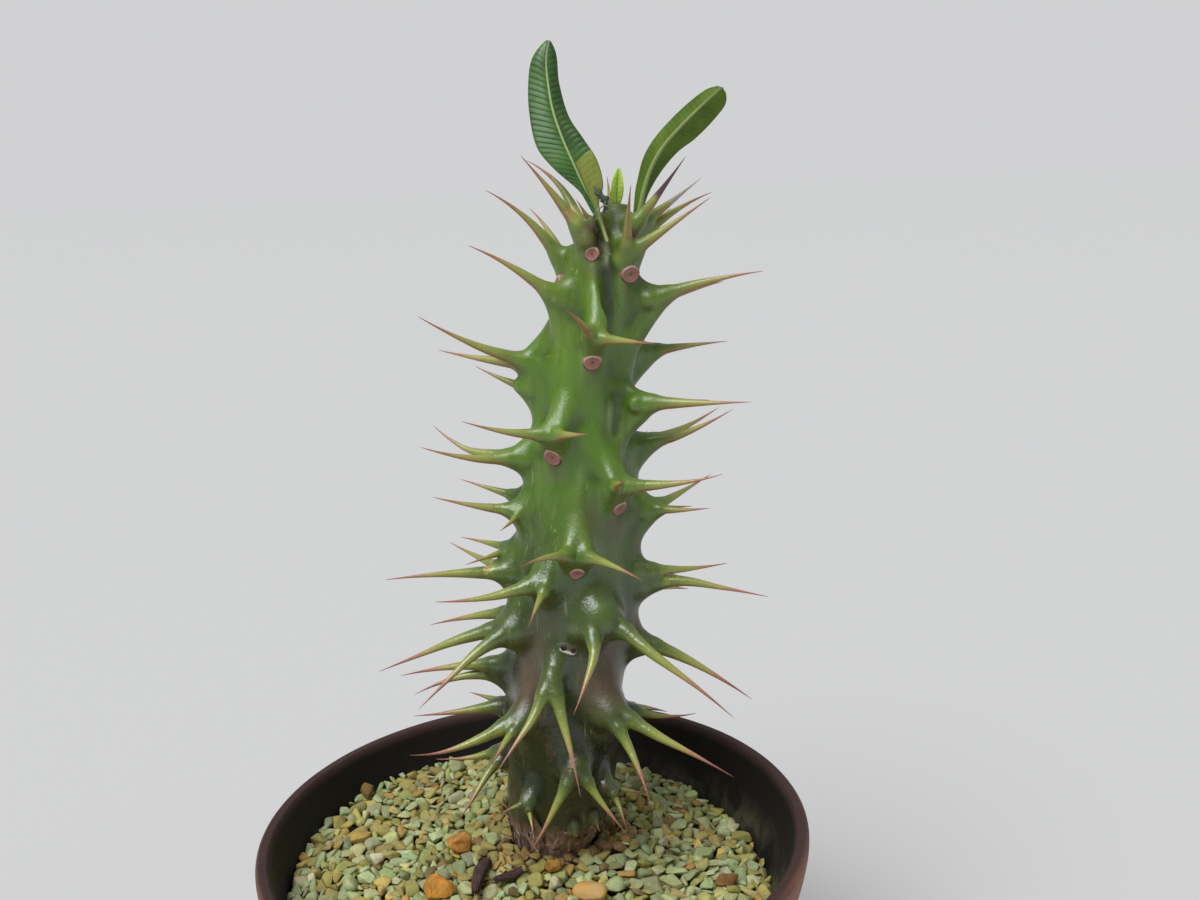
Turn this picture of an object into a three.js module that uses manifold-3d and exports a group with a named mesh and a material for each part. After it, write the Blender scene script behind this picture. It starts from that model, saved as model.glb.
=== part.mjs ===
// A potted Pachypodium ambongense: a spiny succulent stem with three young
// leaves, standing in a round clay-coloured pot with a gravel top dressing.
// Millimetres, +Z up, origin at the centre of the pot's base.
// The front of the plant faces -Y.
import * as THREE from "three";
import { mergeVertices } from "three/addons/utils/BufferGeometryUtils.js";
import Module from "manifold-3d";

// ---------------------------------------------------------------- dimensions
const POT_HEIGHT = 72;
const GAP = 0.3; // clearance between touching pieces
const WALL_SEGMENTS = 40;
// outer wall of the pot, [radius, height], from the foot up to the rim
const POT_OUTER = [
  [33, 0], [36, 1.2], [41.4, 12], [46.4, 27], [51, 42], [55, 52], [58, 60],
  [59.8, 67.5], [60, 71.2], [59.3, 72],
];
// inner wall from the rim down to the floor
const POT_INNER = [
  [57.6, 72], [56.9, 71.2], [56.2, 66], [55, 60], [52.4, 52], [48.2, 42],
  [43.2, 27], [38.4, 12], [35.4, 6.4],
];
const POT_FLOOR = 6;
const DRAIN_RADIUS = 6.5;
const FOOT_RING_INNER = 27; // the base is hollowed a little inside this radius
const FOOT_RECESS = 1.6;

const SOIL_TOP = 47.5;
// gravel surface: a plane that rises to the left rear, with a low mound at the stem
const GRAVEL_LEVEL = POT_HEIGHT - 15.6;
const GRAVEL_SLOPE_X = -0.075;
const GRAVEL_SLOPE_Y = 0.06;
const GRAVEL_MOUND = 5.2;
const GRAVEL_MOUND_RADIUS = 26;

// stem: [height, axis x, radius], from the root end up to the growing tip
const STEM_Y = 12;
const STEM_SIDES = 16;
const STEM = [
  [30, 1.2, 3.4], [40, 1.8, 8.2], [50, 2.4, 10], [60, 3.6, 11.3],
  [68, 4.7, 12.4], [80, 6.2, 13.2], [97, 8.2, 13], [117, 10.4, 12],
  [131, 11.9, 10.8], [148, 13.8, 10], [165, 15.9, 9.6], [178, 17.7, 8.4],
  [192, 19.9, 7.1], [199, 21.1, 6.3], [202.6, 21.8, 4.4],
];
const STEM_TIP = [204, 22];

// tubercles: the point where each pair of thorns leaves the stem, and for each
// thorn the points it runs through, the last one being its tip
const TUBERCLES = [
  { at: [16.1, 5.7, 198.6], spines: [[[10.5, 3.3, 206.6], [4.5, 0.7, 214.3]], [[12.2, 10.6, 207.4], [4.9, 14.7, 213.5]]] },
  { at: [11.8, 16.1, 192.2], spines: [[[4.5, 14.3, 201.5], [-3.7, 12.1, 207.8]], [[8.2, 23.7, 198.9], [4.3, 29.1, 203.4]]] },
  { at: [10.4, 6.3, 185.6], spines: [[[1.5, 4.3, 192.4], [-7.1, 2.3, 197.3]]] },
  { at: [24.6, 4.3, 194.9], spines: [[[25.1, -0.1, 201.4], [25.8, -4.7, 207.9]], [[33.1, 2.3, 199.2], [41.6, 0.3, 204.8]]] },
  { at: [28.1, 16.6, 197.2], spines: [[[36, 19.3, 202], [44, 21.6, 205.4]], [[35.6, 29.6, 202.2]]] },
  { at: [26.5, 7, 199.5], spines: [[[31.3, 5.3, 205.3], [37.1, 3, 212.8]]] },
  { at: [28.3, 15.2, 199.5], spines: [[[35.1, 17.2, 203.9], [41.7, 19.2, 208.6]]] },
  { at: [18, 5.6, 200.3], spines: [[[15, 1.6, 205.4]]] },
  { at: [22.2, 17.8, 203.2], spines: [[[21.6, 19.8, 209.6]]] },
  { at: [30.4, 8.6, 184.6], spines: [[[40.8, 7.3, 187.6], [52.7, 5.6, 189.5]], [[46.2, 21.6, 186.3]]] },
  { at: [17.5, 0, 177.9], spines: [[[14.9, -6.7, 182.1], [12.2, -13, 185.4]], [[23.5, -6.5, 177.9], [29.3, -13, 178]]] },
  { at: [28.6, 17.6, 172.1], spines: [[[37, 16.7, 173.2], [46.2, 15.6, 174]]] },
  { at: [4.1, 11.6, 171.4], spines: [[[-7.4, 8.1, 176.4], [-18.5, 4.6, 183.3]], [[-6.4, 16.1, 172.2], [-16.8, 20.6, 174]]] },
  { at: [3, 11.5, 166.1], spines: [[[-3, 13.6, 168.3], [-8.4, 15.5, 170.9]]] },
  { at: [26.7, 4.8, 163.3], spines: [[[38.6, 0.6, 163.6], [48.8, -3.1, 164.1]], [[34.4, 11, 162.3], [42.2, 16.9, 161.1]]] },
  { at: [27.2, 15.3, 152.2], spines: [[[36.3, 18.8, 154.7], [44.7, 22.4, 158.4]], [[36.3, 12.9, 154.8], [46.5, 10.3, 160.1]]] },
  { at: [22.3, 22, 150.9], spines: [[[29.2, 34, 151.1]]] },
  { at: [8.2, 1.3, 158], spines: [[[-1, -1.4, 159.6], [-10, -3.7, 162.7]], [[12.7, -6.7, 159.6], [15.9, -12.7, 160.9]]] },
  { at: [0.8, 8.4, 151.8], spines: [[[-9.9, 12.6, 152.8], [-14.6, 15, 154.9], [-18.6, 17.4, 157.9]], [[-9.4, 5.3, 152.9], [-19.5, 2.4, 156.4]]] },
  { at: [0.1, 15.2, 141.1], spines: [[[-6.6, 17.6, 142.8], [-13.9, 20.2, 144.8]]] },
  { at: [0.3, 7.8, 140.2], spines: [[[-8.9, 6.2, 142.2], [-18.2, 4.8, 144.9]], [[-1.6, 2.1, 139.5], [-3.5, -3.2, 139.2]]] },
  { at: [20.8, 1.1, 146.4], spines: [[[34, -0.8, 147.2], [42.8, -1.9, 149.1]], [[22.4, -11.9, 151]]] },
  { at: [28.1, 10.9, 138.6], spines: [[[34.1, 14.2, 140.6], [42.3, 18.9, 143.9]], [[34.4, 7.9, 139], [40.8, 4.9, 140]]] },
  { at: [26, 13.6, 137.9], spines: [[[38.3, 21.6, 135.9]]] },
  { at: [-2.1, 12.4, 130.3], spines: [[[-7.9, 16.2, 130.8], [-14.6, 20.4, 131.2]], [[-6.2, 9.2, 130.2], [-12.1, 4.4, 129.7]]] },
  { at: [-2.9, 8.4, 126.4], spines: [[[-16.7, 5.4, 127.5], [-29.3, 2.4, 127.8]], [[-9.9, 14.2, 128], [-17.4, 20.4, 130.1]]] },
  { at: [4.6, -0.6, 126.4], spines: [[[-6.4, -3.7, 125.2], [-17.7, -6.6, 125.6]], [[3.5, -7.7, 124.2], [2.1, -14.6, 122.4]]] },
  { at: [-3.2, 19.6, 113], spines: [[[-12.8, 22, 111.5], [-23.7, 24.6, 108.8]]] },
  { at: [12.1, -1.8, 132.7], spines: [[[6.7, -8, 134.7], [3.7, -12, 135.3], [1.1, -15.8, 135.2]], [[16.8, -6.3, 132.9], [21.2, -11, 132.3], [25.2, -15.8, 131.5]]] },
  { at: [25.4, 9.5, 125.2], spines: [[[35.2, 10.9, 124.6], [45.1, 12.5, 125]], [[34.6, 23.5, 118.9]]] },
  { at: [26.3, 10.9, 121.5], spines: [[[34.6, 10, 122.1], [43.7, 8.6, 120.6], [53.3, 6.9, 118.7]], [[37.2, 24.9, 114.9]]] },
  { at: [-4.9, 4.8, 114.4], spines: [[[-15.6, 5.8, 112], [-24.7, 6.3, 108.4], [-33.2, 6.8, 105]], [[-11, 0.6, 110.7], [-17.2, -4.1, 106.3], [-22.4, -8.2, 102.5]]] },
  { at: [-6.4, 16.1, 102.1], spines: [[[-18.9, 18.2, 100.7], [-30.9, 20.1, 98.2]]] },
  { at: [-6.3, 18.1, 98.7], spines: [[[-16.6, 17.5, 98.4], [-27.3, 16.1, 95.1]]] },
  { at: [-6.2, 20.6, 89.8], spines: [[[-11, 26.2, 89], [-16.7, 32.6, 87.9]], [[-18.6, 18.9, 89.2], [-28.2, 17.6, 89.2]]] },
  { at: [17.5, -2.4, 116.8], spines: [[[14.8, -7, 112.9], [12.7, -12.2, 108.4], [10.2, -17.4, 104.1]], [[26.5, -5.7, 112.3], [36, -10, 105.7], [43.2, -13.4, 100.1]]] },
  { at: [25.8, 10.8, 108.2], spines: [[[33.7, 10, 104.6], [41.4, 9, 100.1], [49.6, 7.8, 94.3]]] },
  { at: [21.1, 20.1, 87.9], spines: [[[29.2, 18.8, 86.1], [37.9, 18.1, 86.8]], [[26.5, 26.3, 84.7], [31.8, 32.1, 80.7]]] },
  { at: [5.3, -3.7, 104.2], spines: [[[1.4, -7.8, 99.5], [-2.4, -11.5, 95.4], [-6.5, -15.7, 90.9]], [[7.7, -7.7, 98.3], [9.3, -11.8, 92.3], [10.9, -16.7, 85.3]]] },
  { at: [-2.6, -0.8, 95.4], spines: [[[-10.1, -3.4, 93.2], [-18.2, -6, 91.7], [-25.2, -7.8, 92.2]], [[-4.4, -4.7, 93.6], [-6.3, -8.6, 92], [-8.4, -12.8, 90.4]]] },
  { at: [-7.6, 20.4, 78.2], spines: [[[-15.1, 21.2, 76.4], [-24.6, 22.4, 75.6]], [[-11.7, 15.9, 74.4], [-15.1, 11.5, 70.5], [-18.3, 7.4, 67.2]]] },
  { at: [18.2, -1.7, 96.8], spines: [[[21.5, -6.4, 90.6], [23.8, -10, 85.9], [25.3, -13.7, 81]], [[27.6, -5, 92.8], [36.2, -8.1, 88.9], [43.3, -10.7, 85.4]]] },
  { at: [9.9, -2.8, 83.8], spines: [[[5.2, -6, 78], [1.8, -8.7, 72.8], [-1.3, -10.8, 69.2]], [[13.9, -5.3, 79.8], [17.1, -7.6, 76], [20.4, -9.8, 72.4]]] },
  { at: [16.9, 1.1, 77.8], spines: [[[18.7, -1.4, 74.8], [20.2, -4.9, 70.4]], [[24.9, 4.1, 74.6]]] },
  { at: [-1.5, -0.4, 75.8], spines: [[[-4.7, -2.4, 75.9], [-7.2, -4.4, 75.2]], [[-0.6, -3.2, 73.3], [0.1, -6.4, 70.3]]] },
  { at: [8.8, -0.2, 68.9], spines: [[[9.2, -1.4, 67.4]]] },
  { at: [13.1, 1.6, 70.6], spines: [[[14.3, -0.9, 68.3]]] },
  { at: [20, 22.2, 193], spines: [[[21.2, 26.3, 195.4], [22.3, 30.3, 198.1]], [[18.8, 26.4, 196.3], [17.6, 30.7, 200]]] },
  { at: [19.7, 22.9, 184], spines: [[[22.2, 29.8, 186.9], [24.6, 36.6, 190.3]], [[18.9, 29.4, 186.9], [18, 35.9, 190.2]]] },
  { at: [16, 23.9, 175], spines: [[[16.8, 31.4, 177.6], [17.6, 39, 180.6]], [[13.6, 31.2, 176.7], [11.2, 38.6, 178.9]]] },
  { at: [17, 24.6, 167], spines: [[[20.2, 33.9, 169.4], [23.4, 43.2, 172.4]], [[14.9, 35.6, 168.7], [12.9, 46.6, 171]]] },
  { at: [13.6, 24.9, 156], spines: [[[15.6, 35.4, 156.9], [17.6, 45.9, 158.3]], [[10.3, 33.6, 157.3], [7, 42.3, 159.1]]] },
  { at: [14.9, 25.1, 146], spines: [[[18.1, 34.4, 145.6], [21.2, 43.6, 145.7]], [[13.7, 35.5, 146.8], [12.5, 45.8, 148.3]]] },
  { at: [11.4, 25.6, 137], spines: [[[12.8, 36.2, 136.5], [14.2, 46.9, 136.6]], [[8, 36.3, 136.6], [4.6, 46.9, 136.8]]] },
  { at: [12.9, 26.2, 129], spines: [[[16.8, 36.5, 130], [20.6, 46.7, 129.7]], [[11.2, 35.6, 128.8], [9.4, 45.1, 127.3]]] },
  { at: [9.3, 26.9, 121], spines: [[[10.7, 35.9, 121], [12.1, 45, 119.9]], [[5.6, 36.5, 120.2], [1.9, 46.1, 118.3]]] },
  { at: [10.5, 27.4, 113], spines: [[[13.1, 37.7, 110.3], [15.7, 48, 106.3]], [[8.7, 37.7, 111.2], [6.8, 48, 108.2]]] },
  { at: [12.3, 27.4, 104], spines: [[[16.2, 35.7, 99.3], [20.1, 43.9, 93.5]], [[12.1, 36.4, 100.7], [11.8, 45.3, 96.3]]] },
  { at: [5.4, 27.9, 97], spines: [[[6.3, 36.1, 92.2], [7.1, 44.3, 86.1]], [[1.4, 36.3, 91.2], [-2.7, 44.6, 84.2]]] },
  { at: [9.1, 28.2, 90], spines: [[[12.3, 37, 84.2], [15.5, 45.8, 77.1]], [[8.1, 35.8, 83.8], [7, 43.4, 76.4]]] },
  { at: [4.6, 28.2, 81], spines: [[[5.3, 34.3, 76.3], [5.9, 40.4, 70.7]], [[2.8, 33.9, 76], [1, 39.5, 70.1]]] },
  { at: [9.4, 27.4, 75], spines: [[[11.5, 31.2, 70.9], [13.5, 35, 66.1]], [[9.4, 32.6, 71], [9.3, 37.8, 66.2]]] },];
const THORN_ROOT_RADIUS = 1.5;
const THORN_SIDES = 4;
const TUBERCLE_SIDES = 6;

// leaves: left edge, midrib and right edge, from the stalk to the tip
const LEAF_THICKNESS = 0.7;
const LEAVES = {
  leaf_left: {
    left: [[18.1, 4.4, 202.5], [15.5, 4.6, 207.1], [10.5, 5.2, 211.8], [7.7, 6, 215.6], [6.5, 6.9, 221.1], [6.4, 7.9, 227.5], [7.4, 8.9, 233], [10.5, 10.4, 236.5]],
    mid: [[19.1, 4.6, 201.9], [17.1, 5.4, 206.7], [14.7, 6.4, 212.6], [12.7, 7.4, 217.6], [11.1, 8.4, 222.9], [10.4, 9.3, 227.8], [10.2, 10, 232.7], [10.9, 10.6, 236.3]],
    right: [[19.9, 4.4, 201.7], [20.3, 3.8, 207.3], [19.5, 3.8, 212.8], [17.1, 4.2, 216.9], [14.3, 5.2, 221.5], [12.6, 6.7, 228.1], [12.3, 8.4, 233.6], [11.3, 10.4, 236.3]],
  },
  leaf_right: {
    left: [[27.1, 9.8, 202], [27.1, 10.6, 207], [28.9, 10.8, 212.5], [31.1, 10.6, 216.4], [34.8, 9.8, 220.3], [39, 8.4, 223.6], [43.6, 6.2, 225.7]],
    mid: [[27.9, 9.6, 201.8], [28.7, 9.2, 206.2], [30.4, 8.6, 210.8], [32.9, 8, 214.9], [36.6, 7.2, 218.8], [40.6, 6.4, 222.4], [44.1, 5.8, 225.1]],
    right: [[28.5, 9.8, 201.7], [30.1, 10.1, 206.5], [33.1, 10, 210.9], [36.2, 9.7, 214], [39.3, 8.9, 216.6], [43.1, 7.7, 220.9], [44.8, 6.1, 224.5]],
  },
  leaf_bud: {
    left: [[22.5, 10.5, 204.2], [22.2, 9.6, 206.8], [22.7, 9.6, 209.2], [23.6, 10.3, 211.1]],
    mid: [[23.3, 10.8, 204.1], [23.4, 10.5, 206.7], [23.7, 10.4, 209.1], [23.8, 10.5, 211.1]],
    right: [[24.1, 10.5, 204.1], [24.8, 9.6, 206.7], [24.7, 9.6, 209.1], [24.2, 10.3, 211.1]],
  },
};

// single stones that lie on the gravel: [name, x, y, length, depth, height, turn in degrees]
const STONES = [
  ["stone_orange_left", -17.8, 5.8, 5.6, 4.6, 4.4, 20],
  ["stone_orange_front_left", -20.8, -7.9, 7.6, 5, 4.2, -15],
  ["stone_orange_front", 11.7, -9.4, 7.8, 4.6, 3.4, -22],
  ["stone_yellow_front", 3.7, -2.9, 4, 3.2, 3.6, 10],
  ["stone_white_left", -36.4, 3.6, 3, 2.6, 2.6, 35],
  ["stone_brown_right", 42.2, -0.7, 5.4, 3.8, 3, 12],
  ["stone_pale_front", 4.1, -7, 3, 2.8, 3, 50],
  ["stone_ochre_wall", -43.2, 30.4, 3.8, 3, 4, 60],
];
// bark chips: [name, start x, start y, end x, end y, thickness]
const BARK = [
  ["bark_chip_long", -10.9, 2, -12.6, -8.4, 2],
  ["bark_chip_short", -9, -3.6, -3, -1.2, 1.6],
];

const COLOURS = {
  pot: 0x7a4a38, soil: 0x2c2019, gravel: 0x9ea37c, stem: 0x4c6b2c, leaf: 0x2f6a2c,
  bud: 0x9cc04a, orange: 0xc98a3c, yellow: 0xc3a347, white: 0xd8d5c4, brown: 0x9a5f33,
  ochre: 0x8d7638, bark: 0x3d272a,
};

// -------------------------------------------------------------------- solids
const wasm = await Module();
wasm.setup();

// a closed three.js geometry as a solid; the mesh is turned outwards if it points in
function toSolid(geometry) {
  const g = geometry.clone();
  g.deleteAttribute("normal");
  g.deleteAttribute("uv");
  const merged = mergeVertices(g, 1e-4);
  const index = merged.index.array;
  const kept = [];
  for (let i = 0; i < index.length; i += 3) {
    const [a, b, c] = [index[i], index[i + 1], index[i + 2]];
    if (a !== b && b !== c && c !== a) kept.push(a, b, c);
  }
  const build = (triVerts) =>
    new wasm.Manifold(
      new wasm.Mesh({
        numProp: 3,
        vertProperties: new Float32Array(merged.attributes.position.array),
        triVerts: new Uint32Array(triVerts),
      }),
    );
  const made = build(kept);
  if (made.volume() > 0) return made;
  for (let i = 0; i < kept.length; i += 3)
    [kept[i + 1], kept[i + 2]] = [kept[i + 2], kept[i + 1]];
  return build(kept);
}

function toGeometry(solid) {
  const mesh = solid.getMesh();
  const n = mesh.numProp;
  const positions = new Float32Array(mesh.numVert * 3);
  for (let i = 0; i < mesh.numVert; i++)
    positions.set(mesh.vertProperties.subarray(i * n, i * n + 3), i * 3);
  const g = new THREE.BufferGeometry();
  g.setAttribute("position", new THREE.BufferAttribute(positions, 3));
  g.setIndex(new THREE.BufferAttribute(new Uint32Array(mesh.triVerts), 1));
  g.computeVertexNormals();
  return g;
}

// a body of revolution about +Z from [radius, height] points
function revolve(profile, segments) {
  const g = new THREE.LatheGeometry(
    profile.map(([r, z]) => new THREE.Vector2(r, z)),
    segments,
  );
  g.rotateX(Math.PI / 2);
  return g;
}

// moves every vertex of a geometry
function bend(geometry, move) {
  const p = geometry.attributes.position;
  const v = new THREE.Vector3();
  for (let i = 0; i < p.count; i++) {
    v.fromBufferAttribute(p, i);
    move(v);
    p.setXYZ(i, v.x, v.y, v.z);
  }
  return geometry;
}

// repeatable scatter between -1 and 1
function scatter(a, b = 0, c = 0) {
  const s = Math.sin(a * 12.9898 + b * 78.233 + c * 37.719) * 43758.5453;
  return 2 * (s - Math.floor(s)) - 1;
}

function along(table, height, column) {
  if (height <= table[0][0]) return table[0][column];
  for (let i = 1; i < table.length; i++)
    if (height <= table[i][0]) {
      const [a, b] = [table[i - 1], table[i]];
      const t = (height - a[0]) / (b[0] - a[0]);
      return a[column] + t * (b[column] - a[column]);
    }
  return table[table.length - 1][column];
}
const stemX = (z) => along(STEM, z, 1);
const stemRadius = (z) => along(STEM, z, 2);
const WALL_BY_HEIGHT = POT_INNER.slice().reverse().map(([r, z]) => [z, r]);
const innerRadius = (z) => along(WALL_BY_HEIGHT, z, 1);

function gravelHeight(x, y) {
  const d2 = (x - stemX(58)) ** 2 + (y - STEM_Y) ** 2;
  return (
    GRAVEL_LEVEL + GRAVEL_SLOPE_X * x + GRAVEL_SLOPE_Y * y +
    GRAVEL_MOUND * Math.exp(-d2 / GRAVEL_MOUND_RADIUS ** 2)
  );
}

// ----------------------------------------------------------------------- pot
function pot() {
  const profile = [
    [DRAIN_RADIUS, FOOT_RECESS],
    [FOOT_RING_INNER, FOOT_RECESS],
    [FOOT_RING_INNER + 1.5, 0],
    ...POT_OUTER,
    ...POT_INNER,
    [34.6, POT_FLOOR],
    [DRAIN_RADIUS, POT_FLOOR - 0.4],
    [DRAIN_RADIUS, FOOT_RECESS],
  ];
  return toSolid(revolve(profile, WALL_SEGMENTS));
}

// the stem without its thorns, grown by `extra` all round
function stemBody(extra = 0) {
  const profile = [[0, STEM[0][0] - extra]];
  for (const [z, , r] of STEM) profile.push([r + extra, z]);
  profile.push([0, STEM_TIP[0] + extra]);
  return toSolid(
    bend(revolve(profile, STEM_SIDES), (v) => {
      v.x += v.z >= STEM[STEM.length - 1][0] ? STEM_TIP[1] : stemX(v.z);
      v.y += STEM_Y;
    }),
  );
}

// a low cone from the stem's axis out to the root of a pair of thorns
function tubercle(at) {
  const tip = new THREE.Vector3(...at);
  const size = Math.min(1, Math.max(0.35, (tip.distanceTo(axisPoint(at[2])) - stemRadius(at[2])) / 3));
  const foot = axisPoint(at[2] - 1.5 * size);
  const out = tip.clone().sub(foot);
  const reach = out.length();
  out.normalize();
  const side = new THREE.Vector3(-out.y, out.x, 0).normalize();
  const up = new THREE.Vector3().crossVectors(side, out).multiplyScalar(-1);
  const profile = [[0, 0.4], [1, 0.41], [0.42, 1], [0, 1.02]];
  return toSolid(
    bend(revolve(profile, TUBERCLE_SIDES), (v) => {
      const t = v.z;
      const [sx, sz] = [v.x, v.y];
      v.copy(foot)
        .addScaledVector(out, reach * t)
        .addScaledVector(side, sx * 4.2 * size)
        .addScaledVector(up, sz * 5.2 * size);
    }),
  );
}
function axisPoint(z) {
  return new THREE.Vector3(stemX(z), STEM_Y, z);
}

// a thorn: a round spike that tapers along a curve
function thorn(at, points) {
  const root = new THREE.Vector3(...at);
  const stops = points.map((p) => new THREE.Vector3(...p));
  const tip = stops[stops.length - 1];
  const length = root.distanceTo(tip);
  const r0 = Math.min(THORN_ROOT_RADIUS, Math.max(0.5, length * 0.085));
  const start = root.clone().addScaledVector(stops[0].clone().sub(root).normalize(), -1.2);
  const curve = new THREE.CatmullRomCurve3([start, ...stops], false, "chordal");
  const profile = [[0, 0], [r0, 0.02], [r0 * 0.68, 0.5], [0, 1]];
  return toSolid(
    bend(revolve(profile, THORN_SIDES), (v) => {
      const t = Math.min(1, Math.max(0, v.z));
      const [px, py] = [v.x, v.y];
      const tangent = curve.getTangent(t);
      const side = new THREE.Vector3(-tangent.y, tangent.x, 0);
      if (side.lengthSq() < 1e-6) side.set(1, 0, 0);
      side.normalize();
      const up = new THREE.Vector3().crossVectors(tangent, side);
      v.copy(curve.getPoint(t)).addScaledVector(side, px).addScaledVector(up, py);
    }),
  );
}

function stem() {
  let s = stemBody();
  for (const t of TUBERCLES) {
    s = s.add(tubercle(t.at));
    for (const points of t.spines) s = s.add(thorn(t.at, points));
  }
  return s;
}

// --------------------------------------------------------------- soil, gravel
function soil(root) {
  const profile = [[0, POT_FLOOR + GAP]];
  profile.push([innerRadius(POT_FLOOR + 1) - GAP - 0.8, POT_FLOOR + GAP]);
  for (const z of [12, 27, 40, SOIL_TOP]) profile.push([innerRadius(z) - GAP - 0.2, z]);
  profile.push([0, SOIL_TOP + 0.6]);
  return toSolid(revolve(profile, 32)).subtract(root);
}

function gravel(root) {
  const bottom = SOIL_TOP + 1;
  const rings = [1, 0.93, 0.83, 0.72, 0.6, 0.48, 0.36, 0.24, 0.12];
  const profile = [[0, bottom], [innerRadius(bottom) - GAP, bottom]];
  for (const f of rings) profile.push([f * 54, 60]);
  profile.push([0, 60]);
  const g = bend(revolve(profile, WALL_SEGMENTS), (v) => {
    if (v.z < 59) return;
    const f = Math.hypot(v.x, v.y) / 54;
    const a = Math.atan2(v.y, v.x);
    // the outermost ring lies against the wall at the gravel's own height there
    const k = Math.round(((a + Math.PI) / (2 * Math.PI)) * WALL_SEGMENTS) % WALL_SEGMENTS;
    let z = gravelHeight(v.x, v.y);
    const edge = innerRadius(gravelHeight(54 * Math.cos(a), 54 * Math.sin(a)) - 1.4) - GAP - 0.15;
    v.x = Math.cos(a) * f * edge;
    v.y = Math.sin(a) * f * edge;
    z = gravelHeight(v.x, v.y) + 0.8 * scatter(k, Math.round(f * 20)) * (f > 0.02 ? 1 : 0) - 0.9;
    if (f > 0.97) z = gravelHeight(v.x, v.y) - 1.2;
    v.z = z;
  });
  return toSolid(g).subtract(root);
}

function stone(name, x, y, length, depth, height, turn, seed) {
  const g = new THREE.IcosahedronGeometry(1, 1);
  const a = THREE.MathUtils.degToRad(turn);
  const z = gravelHeight(x, y) + height / 2 + 0.25;
  bend(g, (v) => {
    const key = [Math.round(v.x * 50), Math.round(v.y * 50), Math.round(v.z * 50)];
    const k = 1 + 0.12 * scatter(key[0] + seed, key[1], key[2]);
    const [sx, sy] = [(v.x * k * length) / 2, (v.y * k * depth) / 2];
    v.set(
      x + sx * Math.cos(a) - sy * Math.sin(a),
      y + sx * Math.sin(a) + sy * Math.cos(a),
      z + (v.z * k * height) / 2,
    );
  });
  return toSolid(g);
}

function barkChip(x0, y0, x1, y1, thickness, seed) {
  const g = new THREE.CylinderGeometry(1, 0.8, 1, 7, 3);
  g.rotateX(Math.PI / 2);
  const [dx, dy] = [x1 - x0, y1 - y0];
  const length = Math.hypot(dx, dy);
  const z0 = Math.max(gravelHeight(x0, y0), gravelHeight(x1, y1)) + thickness * 0.55 + 0.5;
  return toSolid(
    bend(g, (v) => {
      const t = v.z + 0.5;
      const k = 1 + 0.15 * scatter(Math.round(v.x * 9) + seed, Math.round(v.y * 9), Math.round(t * 3));
      const [sx, sz] = [(v.x * k * thickness) / 2, (v.y * k * thickness) / 2];
      v.set(x0 + dx * t - (sx * dy) / length, y0 + dy * t + (sx * dx) / length, z0 + sz + 0.4 * Math.sin(t * 3));
    }),
  );
}

// -------------------------------------------------------------------- leaves
function leaf({ left, mid, right }, thickness) {
  const curves = [left, mid, right].map(
    (row) => new THREE.CatmullRomCurve3(row.map((p) => new THREE.Vector3(...p))),
  );
  const steps = mid.length > 5 ? 10 : 6;
  const g = new THREE.BoxGeometry(2, 1, 1, 4, steps, 1);
  const frameAt = (u, t) => {
    const m = curves[1].getPoint(t);
    const edge = curves[u < 0 ? 0 : 2].getPoint(t);
    return m.lerp(edge, Math.abs(u));
  };
  return toSolid(
    bend(g, (v) => {
      const [u, t, w] = [v.x, v.y + 0.5, v.z];
      const p = frameAt(u, t);
      const across = curves[2].getPoint(t).sub(curves[0].getPoint(t)).normalize();
      const run = curves[1].getTangent(t);
      const normal = new THREE.Vector3().crossVectors(across, run).normalize();
      const local = thickness * (1 - 0.45 * Math.abs(u));
      v.copy(p).addScaledVector(normal, w * local);
    }),
  );
}

// ------------------------------------------------------------------ assembly
const plant = new THREE.Group();
function part(name, solid, color, roughness = 0.8) {
  const mesh = new THREE.Mesh(
    toGeometry(solid),
    new THREE.MeshStandardMaterial({ color, roughness, metalness: 0 }),
  );
  mesh.name = name;
  plant.add(mesh);
}

const rootSpace = stemBody(GAP);
const stemSolid = stem();
part("pot", pot(), COLOURS.pot, 0.6);
part("potting_soil", soil(rootSpace), COLOURS.soil, 0.95);
part("gravel_layer", gravel(rootSpace), COLOURS.gravel, 0.9);
part("stem", stemSolid, COLOURS.stem, 0.35);
part("leaf_left", leaf(LEAVES.leaf_left, LEAF_THICKNESS), COLOURS.leaf, 0.4);
part("leaf_right", leaf(LEAVES.leaf_right, LEAF_THICKNESS), COLOURS.leaf, 0.45);
part("leaf_bud", leaf(LEAVES.leaf_bud, LEAF_THICKNESS), COLOURS.bud, 0.4);
STONES.forEach(([name, ...rest], i) => {
  const tint = name.split("_")[1];
  part(name, stone(name, ...rest, i * 7 + 3), COLOURS[tint] ?? COLOURS.gravel, 0.85);
});
BARK.forEach(([name, ...rest], i) => part(name, barkChip(...rest, i + 1), COLOURS.bark, 0.9));

export default plant;
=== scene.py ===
import math

import bpy
import numpy as np
from mathutils import Matrix, Vector


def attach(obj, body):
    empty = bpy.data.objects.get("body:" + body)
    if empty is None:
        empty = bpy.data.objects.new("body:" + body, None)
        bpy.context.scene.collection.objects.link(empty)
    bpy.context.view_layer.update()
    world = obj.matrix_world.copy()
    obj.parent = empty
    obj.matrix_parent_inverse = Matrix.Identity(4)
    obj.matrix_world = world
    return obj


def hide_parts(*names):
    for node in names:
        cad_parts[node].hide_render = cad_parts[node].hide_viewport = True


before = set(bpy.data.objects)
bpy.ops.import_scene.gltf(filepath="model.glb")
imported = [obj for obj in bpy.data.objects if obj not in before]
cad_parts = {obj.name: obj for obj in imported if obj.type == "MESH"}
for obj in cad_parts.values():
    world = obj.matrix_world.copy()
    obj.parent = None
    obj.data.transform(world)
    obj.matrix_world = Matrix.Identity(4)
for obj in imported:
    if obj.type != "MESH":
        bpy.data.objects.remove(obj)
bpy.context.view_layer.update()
scene = bpy.context.scene

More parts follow.
